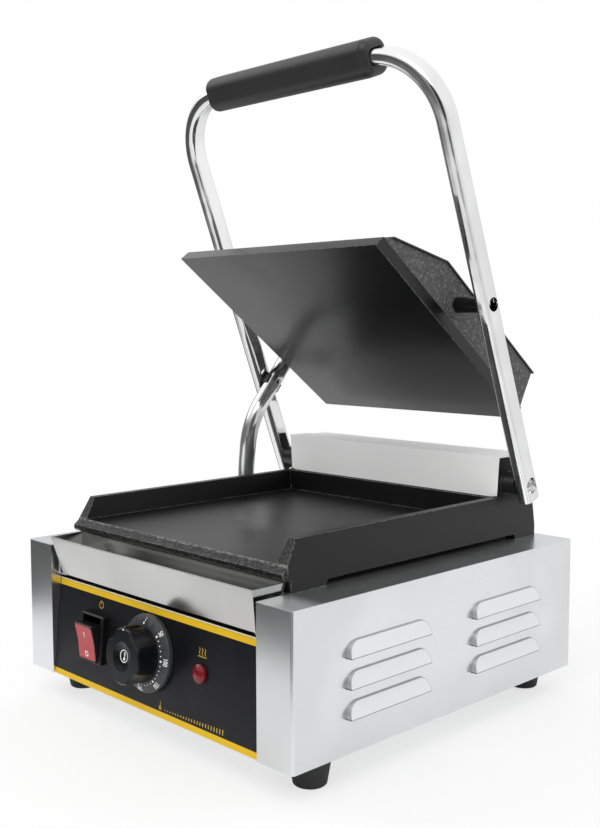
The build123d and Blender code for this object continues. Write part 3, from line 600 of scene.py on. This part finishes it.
# Control panel film: two yellow stripes, and a painted highlight along its bent upper edge
film = {
    "black": (0.0055, 0.0057, 0.008),
    "yellow": (0.80, 0.50, 0.008),
    "edgeHighlight": (0.86, 0.82, 0.62),
    "dustColor": (0.2, 0.2, 0.2),
    "highlightFrom": 0.0713,
    "highlightSoft": 0.00005,
    "upperStripe": (0.0668, 0.0711),
    "lowerStripe": (-0.001, 0.0043),
    "stripeSoft": 0.00006,
    "faceFrom": (-0.0003, -0.0002),
    "edgeFrom": (-0.0009, -0.0007),
    "cloud": (30.0, 3.0),
    "cloudShades": (0.8, 1.2),
    "dust": (900.0, 1.0),
    "dustFrom": (0.74, 0.78),
    "dustLevel": 0.35,
    "goldShade": 0.9,
    "roughness": 0.36,
    "roughFrom": (0.3, 0.7),
    "roughLevels": (0.3, 0.42),
    "grain": (1800.0, 2.0),
    "bump": (0.05, 0.0001),
    "ior": 1.32,
}


def panelFilm():
    material, tree, shader = newMaterial("panelFilm", film["black"], 0.0, film["roughness"])
    shader.inputs["IOR"].default_value = film["ior"]
    vector = localVector(tree, panelFrame)
    part = splitVector(tree, vector)
    upper = addBand(tree, part["Y"], *film["upperStripe"], film["stripeSoft"])
    lower = addBand(tree, part["Y"], *film["lowerStripe"], film["stripeSoft"])
    stripes = times(tree, larger(tree, upper, lower), addStep(tree, part["Z"], *film["faceFrom"]))
    # Painted highlight along the film's upper edge
    soft = film["highlightSoft"]
    edge = addStep(tree, part["Y"], film["highlightFrom"] - soft, film["highlightFrom"] + soft)
    edge = times(tree, edge, addStep(tree, part["Z"], *film["edgeFrom"]))
    cloud = addNoise(tree, vector, *film["cloud"])
    dust = addStep(tree, addNoise(tree, vector, *film["dust"]), *film["dustFrom"])
    darker, lighter = film["cloudShades"]
    black = addMix(tree, cloud, shaded(film["black"], darker), shaded(film["black"], lighter))
    black = addMix(tree, times(tree, dust, film["dustLevel"]), black, film["dustColor"])
    gold = addMix(tree, cloud, shaded(film["yellow"], film["goldShade"]), film["yellow"])
    tint = addMix(tree, stripes, black, gold)
    tree.links.new(addMix(tree, edge, tint, film["edgeHighlight"]), shader.inputs["Base Color"])
    rough = addStep(tree, cloud, *film["roughFrom"], *film["roughLevels"])
    tree.links.new(rough, shader.inputs["Roughness"])
    addBump(tree, shader, addNoise(tree, vector, *film["grain"]), *film["bump"])
    return material


# Rocker: a thin red cap on a black body
rocker = {
    "place": (-0.064, 0.0366, -0.001), "tilt": math.radians(14.0),
    "red": (0.44, 0.026, 0.034),
    "redShades": (0.85, 1.1),
    "wornRed": (0.75, 0.25, 0.22),
    "body": (0.009, 0.009, 0.009),
    "roughness": 0.3,
    "cap": 0.0080, "capSoft": 0.0002, "capHalf": (0.0101, 0.0128),
    "capMiddle": -0.0002, "capCorner": 0.0026, "cornerSoft": 0.0001,
    "cloud": (160.0, 3.0),
    "wear": 0.5,
    "bump": (0.03, 0.0003),
}
rockerFrame = panelFrame @ Matrix.Translation(rocker["place"])
rockerFrame = rockerFrame @ Matrix.Rotation(rocker["tilt"], 4, "X")


def rockerPlastic():
    material, tree, shader = newMaterial("rockerPlastic", rocker["red"], 0.0, rocker["roughness"])
    vector = localVector(tree, rockerFrame)
    part = splitVector(tree, vector)
    corner = rocker["capCorner"]
    halfX, halfY = rocker["capHalf"]
    along = minus(tree, part["Y"], rocker["capMiddle"])
    overX = larger(tree, minus(tree, absolute(tree, part["X"]), halfX - corner), 0.0)
    overY = larger(tree, minus(tree, absolute(tree, along), halfY - corner), 0.0)
    far = addMath(tree, "SQRT", plus(tree, square(tree, overX), square(tree, overY)))
    inside = addFall(tree, far, corner - rocker["cornerSoft"], corner + rocker["cornerSoft"])
    onTop = addStep(tree, part["Z"], rocker["cap"], rocker["cap"] + rocker["capSoft"])
    isCap = times(tree, inside, onTop)
    cloud = addNoise(tree, vector, *rocker["cloud"])
    darker, lighter = rocker["redShades"]
    red = addMix(tree, cloud, shaded(rocker["red"], darker), shaded(rocker["red"], lighter))
    worn = addGroup(tree, edgeWear, vector, Amount=rocker["wear"])
    red = addMix(tree, worn["Mask"], red, rocker["wornRed"])
    tree.links.new(addMix(tree, isCap, rocker["body"], red), shader.inputs["Base Color"])
    addBump(tree, shader, cloud, *rocker["bump"])
    return material


# One finish for each slot of the record: name, colour, roughness and what differs from the usual
finishes = {
    "stainless": housingSteel(),
    "stainless_bright": brushedMetal("traySteel", (0.56, 0.56, 0.55), 0.17, strength=0.04, shade=0.86),
    "rubber": plainPlastic("footRubber", (0.012, 0.012, 0.012), 0.6, strength=0.3),
    "zinc": brushedMetal("zincPlate", (0.62, 0.63, 0.65), 0.3),
    "panel_black": panelFilm(),
    "plastic_black": plainPlastic(
        "blackPlastic", (0.006, 0.006, 0.007), 0.34, strength=0.05, wear=0.05, ior=1.38,
    ),
    "plastic_white": plainPlastic("terminalPlastic", (0.75, 0.74, 0.7), 0.5),
    "rocker_red": rockerPlastic(),
    "dial_grey": plainPlastic("dialGrey", (0.04, 0.042, 0.045), 0.42, wear=0.2),
    "knob_black": plainPlastic(
        "knobBlack", (0.0045, 0.005, 0.0065), 0.26, strength=0.06, wear=0.12, ior=1.36,
    ),
    "lens_red": plainPlastic("lampRed", (0.2, 0.004, 0.012), 0.2, strength=0.02),
    "cast_iron_lower": castIron(
        "griddleIron", griddleLook, objectVector, griddleZones, paintedHingeShade, griddlePaintedSheen, paintedLipHighlight,
    ),
    "cast_iron_upper": castIron(
        "plateIron", plateLook, plateVector, plateZones, nowhere, platePaintedSheen, nowhere,
    ),
    "cover_dark": plainPlastic("coverPaint", (0.014, 0.014, 0.014), 0.4, strength=0.2),
    "element": brushedMetal("elementSteel", (0.3, 0.29, 0.28), 0.5),
    "clamp_steel": brushedMetal("clampSteel", (0.5, 0.5, 0.5), 0.4),
    "insulation": plainPlastic("insulationMat", (0.8, 0.76, 0.66), 0.9, strength=1.0),
    "shaft_steel": brushedMetal("turnedSteel", (0.62, 0.62, 0.64), 0.25, rotation=(0, math.pi / 2, 0)),
    "bush_dark": plainPlastic("sinteredBush", (0.02, 0.019, 0.018), 0.45, strength=0.3),
    "spacer_black": plainPlastic("blackOxide", (0.012, 0.012, 0.012), 0.4),
    "spring_steel": brushedMetal("springSteel", (0.4, 0.4, 0.42), 0.3),
    "tube_chrome": brushedMetal(
        "tubeChrome", (0.93, 0.93, 0.935), 0.1, strength=0.01, wear=0.3, shade=0.84, waves=28.0,
    ),
    "grip_black": plainPlastic("gripBlack", (0.02, 0.02, 0.021), 0.45, strength=0.5, scale=800.0),
    "conduit_metal": brushedMetal(
        "conduitMetal", (0.86, 0.86, 0.87), 0.1, strength=0.01, wear=0.3, shade=0.75, waves=5.0,
    ),
}
# Nodes that look a little different from the rest of their slot
ownFinish = {
    # Painted sheen: the spring box is near white and not metallic, standing in for the light its brushed
    # steel catches
    "spring_box": brushedMetal(
        "boxPaintedSheen", (0.98, 0.98, 0.975), 0.32, strength=0.05, shade=0.97, metallic=0.0,
    ),
    # Painted sheen: the lower hose is partly not metallic, so that its dark reflections come out lighter
    "conduit_lower": brushedMetal(
        "hosePaintedSheen", (0.9, 0.9, 0.9), 0.14, strength=0.01, wear=0.3, shade=0.85, metallic=0.85, waves=5.0,
    ),
    "hinge_bolts": brushedMetal(
        "boltSteel", (0.82, 0.82, 0.81), 0.3, strength=0.1, wear=0.4, shade=0.9, metallic=0.35,
    ),
}
print("finishes made")


def placePiece(piece, body, slotName=None, replaced=(), finish=None):
    if slotName:
        piece.data.materials.clear()
        piece.data.materials.append(finish or finishes[slotName])
    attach(piece, body)
    if replaced:
        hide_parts(*replaced)


def newPiece(name, bm):
    mesh = bpy.data.meshes.new(name)
    bm.to_mesh(mesh)
    bm.free()
    piece = bpy.data.objects.new(name, mesh)
    scene.collection.objects.link(piece)
    return piece


# Pieces of the model that only need soft edges: the width of each one's bevelled rims
softEdges = {
    "housing_shell": 0.0004, "rear_panel": 0.0003, "bottom_plate": 0.0003, "control_panel": 0.0002,
    "switch_housing": 0.0003, "switch_rocker": 0.0003, "dial_bezel": 0.0003, "control_knob": 0.0004,
    "lamp_lens": 0.0, "grease_tray": 0.0003, "lower_casting": 0.0009, "spring_box": 0.0004,
    "upper_casting": 0.0005, "upper_cover": 0.0003, "handle_frame": 0.0, "handle_grip": 0.0,
    "cord_gland": 0.0003, "conduit_clip": 0.0002, "conduit_gland_base": 0.0003, "conduit_gland_plate": 0.0003,
    "plate_pins": 0.0003, "hinge_bolts": 0.0004, "foot_front_left": 0.0004, "foot_front_right": 0.0004,
    "foot_rear_left": 0.0004, "foot_rear_right": 0.0004,
}
rimDegrees = {"usual": 40.0, "lower_casting": 22.0}     # edges sharper than this get a rim
sharpDegrees = {"usual": 32.0, "hose": 40.0, "coil": 65.0}
mergeLook = {"distance": 1e-6, "flatDegrees": 0.5}


def mergedMesh(node):
    bm = bmesh.new()
    bm.from_mesh(nodes[node].data)
    bmesh.ops.remove_doubles(bm, verts=bm.verts, dist=mergeLook["distance"])
    flat = math.radians(mergeLook["flatDegrees"])
    bmesh.ops.dissolve_limit(bm, angle_limit=flat, verts=bm.verts, edges=bm.edges)
    return bm


def shadeSmooth(piece, degrees):
    for polygon in piece.data.polygons:
        polygon.use_smooth = True
    piece.data.set_sharp_from_angle(angle=math.radians(degrees))


def softCopy(node, width):
    bm = mergedMesh(node)
    rim = bm.faces.layers.float.new("rim")
    if width:
        sharp = math.radians(rimDegrees.get(node, rimDegrees["usual"]))
        rims = [e for e in bm.edges if e.is_manifold and e.calc_face_angle(0.0) > sharp]
        made = bmesh.ops.bevel(
            bm, geom=rims, offset=width, offset_type="OFFSET", segments=2, profile=0.5,
            affect="EDGES", clamp_overlap=True, material=-1,
        )
        for face in made["faces"]:
            face[rim] = 1.0
    piece = newPiece(node + ".soft", bm)
    shadeSmooth(piece, sharpDegrees["usual"])
    weighted = piece.modifiers.new("weighted", "WEIGHTED_NORMAL")
    weighted.keep_sharp = True
    return piece


slotOf = {entry["node"]: entry["material_slot"] for entry in frame["record"]["subparts"]}
bodyOf = {node: body for body, names in frame["record"]["behaviour"]["bodies"].items() for node in names}
for node, width in softEdges.items():
    placePiece(softCopy(node, width), bodyOf[node], slotOf[node], [node], ownFinish.get(node))
for node, source in nodes.items():
    if node not in softEdges:
        source.data.materials.clear()
        source.data.materials.append(finishes[slotOf[node]])
print("castings and sheet metal dressed")


# A piece that crosses a joint. It gets no body of its own.
def bendingPiece(name, node, bm, slotName, degrees):
    piece = newPiece(name, bm)
    piece.data.materials.append(ownFinish.get(node, finishes[slotName]))
    shadeSmooth(piece, degrees)
    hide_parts(node)
    return piece


# Conduit: both lengths cross joints, and are cut across at even steps.
# The cuts are (start, direction, spacing, count).
hoseCuts = {
    "conduit_lower": [((0, 0, 0.130), (0, 0, 1), 0.005, 20)],
    "conduit_upper": [((0, 0, 0.234), (0, 0, 1), 0.006, 14), ((-0.11, 0, 0), (1, 0, 0), 0.005, 6)],
}


def conduitLength(node):
    bm = mergedMesh(node)
    for start, direction, spacing, count in hoseCuts[node]:
        for index in range(count):
            place = Vector(start) + Vector(direction) * spacing * index
            everything = bm.verts[:] + bm.edges[:] + bm.faces[:]
            bmesh.ops.bisect_plane(bm, geom=everything, plane_co=place, plane_no=direction, dist=1e-7)
    return bendingPiece(node + ".hose", node, bm, "conduit_metal", sharpDegrees["hose"])


lowerHose = conduitLength("conduit_lower")
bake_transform(lowerHose)
upperHose = conduitLength("conduit_upper")
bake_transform(upperHose)

# Springs: each runs between the leg that bears on the box and the leg held in the collar
for node in ("spring_left", "spring_right"):
    coil = bendingPiece(node + ".coil", node, mergedMesh(node), slotOf[node], sharpDegrees["coil"])
    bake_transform(coil)
print("conduit and springs made")


# Printed marks: thin raised shapes, drawn flat and then laid on their surface
def pourInto(bm, part):
    holder = bpy.data.meshes.new("part")
    part.to_mesh(holder)
    part.free()
    bm.from_mesh(holder)
    bpy.data.meshes.remove(holder)


def addDot(bm, x, y, radius, segments=20):
    place = Matrix.Translation((x, y, 0.0))
    bmesh.ops.create_circle(bm, cap_ends=True, segments=segments, radius=radius, matrix=place)


def addBar(bm, x, y, length, width, turn=0.0, steps=1):
    place = Matrix.Translation((x, y, 0.0)) @ Matrix.Rotation(turn, 4, "Z")
    place = place @ Matrix.Diagonal((length, width, 1.0, 1.0))
    bmesh.ops.create_grid(bm, x_segments=steps, y_segments=1, size=0.5, matrix=place)


# Flat ring, with a gap of the given width at its top
def addRing(bm, x, y, radius, width, openTop=0.0, segments=40):
    ring = bmesh.new()
    bmesh.ops.create_circle(ring, cap_ends=False, segments=segments, radius=radius)
    bmesh.ops.create_circle(ring, cap_ends=False, segments=segments, radius=radius - width)
    bmesh.ops.bridge_loops(ring, edges=ring.edges[:])
    if openTop:
        centres = {face: face.calc_center_median() for face in ring.faces}
        gone = [face for face, at in centres.items() if at.y > 0 and abs(at.x) < openTop / 2]
        bmesh.ops.delete(ring, geom=gone, context="FACES")
    bmesh.ops.translate(ring, verts=ring.verts, vec=(x, y, 0.0))
    pourInto(bm, ring)


numeralLook = {"resolution": 3, "thicken": 0.02}


def addNumber(bm, text, size):
    curve = bpy.data.curves.new("numerals", "FONT")
    curve.body = text
    curve.size = size
    curve.align_x = "CENTER"
    curve.align_y = "CENTER"
    curve.resolution_u = numeralLook["resolution"]
    curve.offset = numeralLook["thicken"] * size
    holder = bpy.data.objects.new("numerals", curve)
    scene.collection.objects.link(holder)
    finished = holder.evaluated_get(bpy.context.evaluated_depsgraph_get())
    flat = bpy.data.meshes.new_from_object(finished)
    bm.from_mesh(flat)
    bpy.data.objects.remove(holder)
    bpy.data.curves.remove(curve)
    bpy.data.meshes.remove(flat)


# lay takes a flat (x, y) to a point on the surface, in the frame of reference placed
def layPrint(name, bm, lay, placed, body, material):
    bmesh.ops.remove_doubles(bm, verts=bm.verts, dist=mergeLook["distance"])
    for vert in bm.verts:
        vert.co = placed @ Vector(lay(vert.co.x, vert.co.y))
    bmesh.ops.recalc_face_normals(bm, faces=bm.faces)
    outward = placed.to_3x3() @ Vector((0.0, 0.0, 1.0))
    wrong = [f for f in bm.faces if f.normal.dot(outward) < 0]
    bmesh.ops.reverse_faces(bm, faces=wrong)
    piece = newPiece(name, bm)
    piece.data.materials.append(material)
    placePiece(piece, body)


inkLook = {"worn": (1400.0, 3.0), "wornFrom": (0.3, 0.6), "wornLevels": (0.82, 1.0), "wornShade": 0.4}


def inkMaterial(name, color):
    material, tree, shader = newMaterial(name, color)
    worn = addNoise(tree, objectVector(tree), *inkLook["worn"])
    worn = addStep(tree, worn, *inkLook["wornFrom"], *inkLook["wornLevels"])
    shade = addMix(tree, worn, shaded(color, inkLook["wornShade"]), color)
    tree.links.new(shade, shader.inputs["Base Color"])
    return material


whiteInk = inkMaterial("whiteInk", (0.93, 0.93, 0.92))
yellowInk = inkMaterial("yellowInk", (0.62, 0.40, 0.03))

dial = {
    "centre": (0.0005, 0.040),
    "rimRadius": 0.0257, "rimHeight": 0.0038, "crownRadius": 0.0196, "crownHeight": 0.0068,
    "lift": 0.00007,
    "stepDegrees": 46.0, "steps": 6, "valueStep": 50,
    "numberRadius": 0.0238, "numberSize": 0.0041, "numberWidth": 0.86,
    "dotRadius": 0.0208, "dotSides": 16, "dotsBetween": 4, "smallDot": 0.0004, "largeDot": 0.00074,
    "zeroDots": ((1.0, 0.0018), (2.0, 0.0032)),
    "sweepRadius": 0.0226, "sweepFrom": 200.0, "sweepDegrees": 16.0,
    "sweepWidths": (0.0003, 0.0012), "sweepSteps": 10,
}
dialFrame = panelFrame @ Matrix.Translation((*dial["centre"], 0.0))


# Flat x runs clockwise round the dial from its top, in degrees; y is the radius
def onCone(x, y):
    slope = (dial["crownHeight"] - dial["rimHeight"]) / (dial["rimRadius"] - dial["crownRadius"])
    around = math.radians(x)
    height = dial["rimHeight"] + slope * (dial["rimRadius"] - y) + dial["lift"]
    return y * math.sin(around), y * math.cos(around), height


def degreesPerMetre(radius):
    return 360.0 / (2 * math.pi * radius)


def dialNumbers():
    bm = bmesh.new()
    perMetre = degreesPerMetre(dial["numberRadius"])
    for index in range(1, dial["steps"] + 1):
        part = bmesh.new()
        addNumber(part, str(dial["valueStep"] * index), dial["numberSize"])
        for vert in part.verts:
            vert.co.x = vert.co.x * dial["numberWidth"] * perMetre + dial["stepDegrees"] * index
            vert.co.y += dial["numberRadius"]
        pourInto(bm, part)
    layPrint("dial.numbers", bm, onCone, dialFrame, "base", whiteInk)


def addDialDot(bm, degrees, radius, size):
    part = bmesh.new()
    addDot(part, 0.0, 0.0, size, dial["dotSides"])
    for vert in part.verts:
        vert.co.x = vert.co.x * degreesPerMetre(radius) + degrees
        vert.co.y += radius
    pourInto(bm, part)


# A large dot at each number and at zero, two more on the zero line, small ones between, a tapered sweep
def dialDots():
    bm = bmesh.new()
    between = dial["dotsBetween"]
    for index in range(dial["steps"] + 1):
        addDialDot(bm, dial["stepDegrees"] * index, dial["dotRadius"], dial["largeDot"])
        if index == 0:
            for degrees, outwards in dial["zeroDots"]:
                addDialDot(bm, degrees, dial["dotRadius"] + outwards, dial["smallDot"])
        elif index < dial["steps"]:
            for dot in range(1, between + 1):
                degrees = dial["stepDegrees"] * (index + dot / (between + 1))
                addDialDot(bm, degrees, dial["dotRadius"], dial["smallDot"])
    sweep = bmesh.new()
    addBar(sweep, 0.0, 0.0, 1.0, 1.0, 0.0, dial["sweepSteps"])
    thin, wider = dial["sweepWidths"]
    for vert in sweep.verts:
        along = 0.5 - vert.co.x
        vert.co.y = dial["sweepRadius"] + vert.co.y * (thin + wider * along)
        vert.co.x = dial["sweepFrom"] + dial["sweepDegrees"] * (1.0 - along)
    pourInto(bm, sweep)
    layPrint("dial.dots", bm, onCone, dialFrame, "base", whiteInk)


upright = math.pi / 2
panelMark = {
    "lift": 0.00006,
    "line": 0.0005,
    "mains": (-0.0590, 0.0610),
    "mainsRadius": 0.0027, "mainsGap": 0.0018, "mainsBar": (0.0628, 0.0030),
    "heatX": 0.0530, "heatPitch": 0.0028, "heatCount": 3,
    "heatWaves": ((0.5, 0.0512), (-0.5, 0.0527), (0.5, 0.0542)),
    "heatLength": 0.0019,
    "heatBase": (0.0494, 0.0086),
    "bulb": (0.0160, 0.0068), "bulbRadius": 0.0014, "bulbDot": 0.0006, "stem": (0.0096, 0.0030),
    "bars": 22, "barFrom": (0.0215, 0.0060), "barPitch": 0.0028,
    "barTall": 0.0006, "barGrowth": 0.00013, "barWidth": 0.0008,
}


def onPanel(x, y):
    return x, y, panelMark["lift"]


# Generic pictograms: mains, heat, and a thermometer with bars that grow to the right
def panelMarks():
    bm = bmesh.new()
    line = panelMark["line"]
    x, y = panelMark["mains"]
    barY, barLength = panelMark["mainsBar"]
    addRing(bm, x, y, panelMark["mainsRadius"], line, openTop=panelMark["mainsGap"])
    addBar(bm, x, barY, barLength, line, upright)
    for index in range(panelMark["heatCount"]):
        x = panelMark["heatX"] + panelMark["heatPitch"] * index
        for turn, y in panelMark["heatWaves"]:
            addBar(bm, x, y, panelMark["heatLength"], line, upright + turn)
    baseY, baseLength = panelMark["heatBase"]
    addBar(bm, panelMark["heatX"] + panelMark["heatPitch"], baseY, baseLength, line)
    x, y = panelMark["bulb"]
    stemY, stemLength = panelMark["stem"]
    addRing(bm, x, y, panelMark["bulbRadius"], line)
    addDot(bm, x, y, panelMark["bulbDot"])
    addBar(bm, x, stemY, stemLength, line, upright)
    firstX, lowY = panelMark["barFrom"]
    for index in range(panelMark["bars"]):
        tall = panelMark["barTall"] + panelMark["barGrowth"] * index
        x = firstX + panelMark["barPitch"] * index
        addBar(bm, x, lowY + tall / 2, tall, panelMark["barWidth"], upright)
    layPrint("panel.marks", bm, onPanel, panelFrame, "base", yellowInk)


knob = {
    "reach": 0.0226, "ball": 0.021, "dish": 0.0098, "lift": 0.00007,
    "ring": (0.0043, 0.0006), "ringSides": 48,
    "bulb": (-0.0018, 0.0011),
    "stem": (0.0006, 0.0042, 0.0008), "stemSteps": 4,
    "tickX": 0.0011, "tickHeights": (0.0012, 0.0024), "tick": (0.0010, 0.0004),
    "tip": (0.0178, 0.0007), "tipLift": 0.00005,
}


def inDish(x, y):
    middle = knob["reach"] + math.sqrt(knob["ball"] ** 2 - knob["dish"] ** 2)
    return x, y, middle - math.sqrt(knob["ball"] ** 2 - x * x - y * y) + knob["lift"]


def onTip(x, y):
    return x, y, knob["reach"] + knob["tipLift"]


# A ring with a thermometer in the dish, and a light point on the pointer
def knobMarks():
    bm = bmesh.new()
    stemY, stemLength, stemWidth = knob["stem"]
    addRing(bm, 0.0, 0.0, *knob["ring"], segments=knob["ringSides"])
    addDot(bm, 0.0, *knob["bulb"])
    addBar(bm, 0.0, stemY, stemLength, stemWidth, upright, knob["stemSteps"])
    for y in knob["tickHeights"]:
        addBar(bm, knob["tickX"], y, *knob["tick"])
    layPrint("knob.marks", bm, inDish, dialFrame, "knob", whiteInk)
    tip = bmesh.new()
    addDot(tip, 0.0, *knob["tip"])
    layPrint("knob.tip", tip, onTip, dialFrame, "knob", whiteInk)


rockerMark = {
    "face": 0.0094, "rise": 0.0008, "halfLength": 0.0132, "lift": 0.00006, "line": 0.0007,
    "bar": (0.0058, 0.0038),
    "ring": (-0.0086, 0.0021),
}


# The rocker's face is a shallow V
def onRocker(x, y):
    rise = rockerMark["rise"] * abs(y) / rockerMark["halfLength"]
    return x, y, rockerMark["face"] + rise + rockerMark["lift"]


def rockerMarks():
    bm = bmesh.new()
    addBar(bm, 0.0, *rockerMark["bar"], rockerMark["line"], upright)
    addRing(bm, 0.0, *rockerMark["ring"], rockerMark["line"])
    layPrint("rocker.marks", bm, onRocker, rockerFrame, "rocker", whiteInk)


dialNumbers()
dialDots()
panelMarks()
knobMarks()
rockerMarks()
print("print laid")

# Floor, light and camera
studio = {
    "floorColor": (0.95, 0.95, 0.95),
    "floorSize": 3.0,
    "floorSolid": 0.34,
    "floorFade": (0.34, 0.52),
    "mirrorFront": (-0.35, 0.03),
    "mirrorReach": (0.41, 0.07),
    "backGlow": 0.1,
    "glowBand": (0.05, 0.4, 0.05),
    "glowBehind": (-0.95, -0.7),
    "tableLevel": 0.85,
    "tableFade": (-0.52, -0.32),
    "ceilingLevel": 1.0,
    "ceilingFade": (0.12, 0.5),
    "diffuseLevel": 0.86,
    "sideMiddle": 0.5,
    "sideSwing": 0.44,
    "cameraSide": (0.72, -0.69, 0.0),
    "brightSide": (0.72, 0.69, 0.0),
    "darkFade": (0.86, 0.96),
    "darkLevels": (1.0, 0.06),
}
lampAim = (0, 0, 0.15)
lamps = {
    "keyLight": {"place": (0.7, -0.9, 1.5), "size": (1.2, 1.2), "watts": 8.0},
    "fillLight": {"place": (-1.2, -0.6, 1.2), "size": (1.0, 1.2), "watts": 4.0},
}
cameraLook = {
    "place": (0.57413, -0.40871, 0.28004),
    "yaw": 0.802, "down": 0.085, "roll": -0.002,
    "focalPixels": 1066.3, "imageHeight": 828, "sensor": 36.0, "near": 0.01,
}


# White paper that fades out into the white background
def makeFloor():
    bm = bmesh.new()
    bmesh.ops.create_grid(bm, x_segments=1, y_segments=1, size=studio["floorSize"])
    floor = newPiece("floor", bm)
    material, tree, shader = newMaterial("floorPaper", studio["floorColor"], 0.0, 1.0)
    shader.inputs["Specular IOR Level"].default_value = 0.0
    place = addNode(tree, "ShaderNodeTexCoord")
    reach = addNode(tree, "ShaderNodeVectorMath", operation="LENGTH")
    tree.links.new(place.outputs["Object"], reach.inputs[0])
    seen = addStep(tree, reach.outputs["Value"], *studio["floorFade"], studio["floorSolid"], 0.0)
    forward = splitVector(tree, place.outputs["Object"])["Y"]
    front, frontFade = studio["mirrorFront"]
    edge, edgeFade = studio["mirrorReach"]
    mirrored = addStep(tree, forward, front, front + frontFade)
    mirrored = times(tree, mirrored, addFall(tree, reach.outputs["Value"], edge, edge + edgeFade))
    path = addNode(tree, "ShaderNodeLightPath")
    solid = addBlend(tree, path.outputs["Is Glossy Ray"], seen, mirrored)
    tree.links.new(solid, shader.inputs["Alpha"])
    floor.data.materials.append(material)


# White to the camera. Reflections see a white ceiling, a bright right side and a dark front left.
def makeWorld():
    world = bpy.data.worlds.new("studio")
    scene.world = world
    world.use_nodes = True
    tree = world.node_tree
    background = tree.nodes["Background"]
    background.inputs["Color"].default_value = (1, 1, 1, 1)
    place = addNode(tree, "ShaderNodeTexCoord")
    height = splitVector(tree, place.outputs["Generated"])["Z"]

    def towards(direction):
        dot = addNode(tree, "ShaderNodeVectorMath", operation="DOT_PRODUCT")
        tree.links.new(place.outputs["Generated"], dot.inputs[0])
        dot.inputs[1].default_value = direction
        return dot.outputs["Value"]

    side = plus(tree, times(tree, towards(studio["brightSide"]), studio["sideSwing"]), studio["sideMiddle"])
    up = addStep(tree, height, *studio["ceilingFade"])
    table = addFall(tree, height, *studio["tableFade"])
    side = times(tree, side, minus(tree, 1.0, table))
    side = plus(tree, side, times(tree, table, studio["tableLevel"]))
    upper = times(tree, up, studio["ceilingLevel"])
    lower = times(tree, minus(tree, 1.0, up), side)
    dark = addStep(tree, towards(studio["cameraSide"]), *studio["darkFade"], *studio["darkLevels"])
    behind = addFall(tree, towards(studio["cameraSide"]), *studio["glowBehind"])
    glow = times(tree, addBand(tree, height, *studio["glowBand"]), behind)
    lower = plus(tree, lower, times(tree, glow, studio["backGlow"]))
    mirrored = times(tree, plus(tree, upper, lower), dark)
    path = addNode(tree, "ShaderNodeLightPath")
    level = addBlend(tree, path.outputs["Is Glossy Ray"], studio["diffuseLevel"], mirrored)
    seen = larger(tree, path.outputs["Is Camera Ray"], path.outputs["Is Transmission Ray"])
    tree.links.new(addBlend(tree, seen, level, 1.0), background.inputs["Strength"])


def addLamp(name, look):
    lamp = bpy.data.lights.new(name, "AREA")
    lamp.shape = "RECTANGLE"
    lamp.size, lamp.size_y = look["size"]
    lamp.energy = look["watts"]
    holder = bpy.data.objects.new(name, lamp)
    scene.collection.objects.link(holder)
    holder.location = look["place"]
    aim = Vector(lampAim) - Vector(look["place"])
    holder.rotation_euler = aim.to_track_quat("-Z", "Y").to_euler()


def makeCamera():
    camera = bpy.data.cameras.new("camera")
    camera.sensor_width = cameraLook["sensor"]
    camera.lens = cameraLook["focalPixels"] / cameraLook["imageHeight"] * cameraLook["sensor"]
    camera.clip_start = cameraLook["near"]
    holder = bpy.data.objects.new("camera", camera)
    scene.collection.objects.link(holder)
    turn = Matrix.Rotation(cameraLook["yaw"], 4, "Z")
    turn = turn @ Matrix.Rotation(math.pi / 2 - cameraLook["down"], 4, "X")
    turn = turn @ Matrix.Rotation(cameraLook["roll"], 4, "Z")
    x, y, z = cameraLook["place"]
    holder.matrix_world = Matrix.Translation((x, y + shiftY, z)) @ turn
    scene.camera = holder


makeFloor()
makeWorld()
for name, look in lamps.items():
    addLamp(name, look)
makeCamera()
scene.view_settings.view_transform = "Standard"
print("studio set")
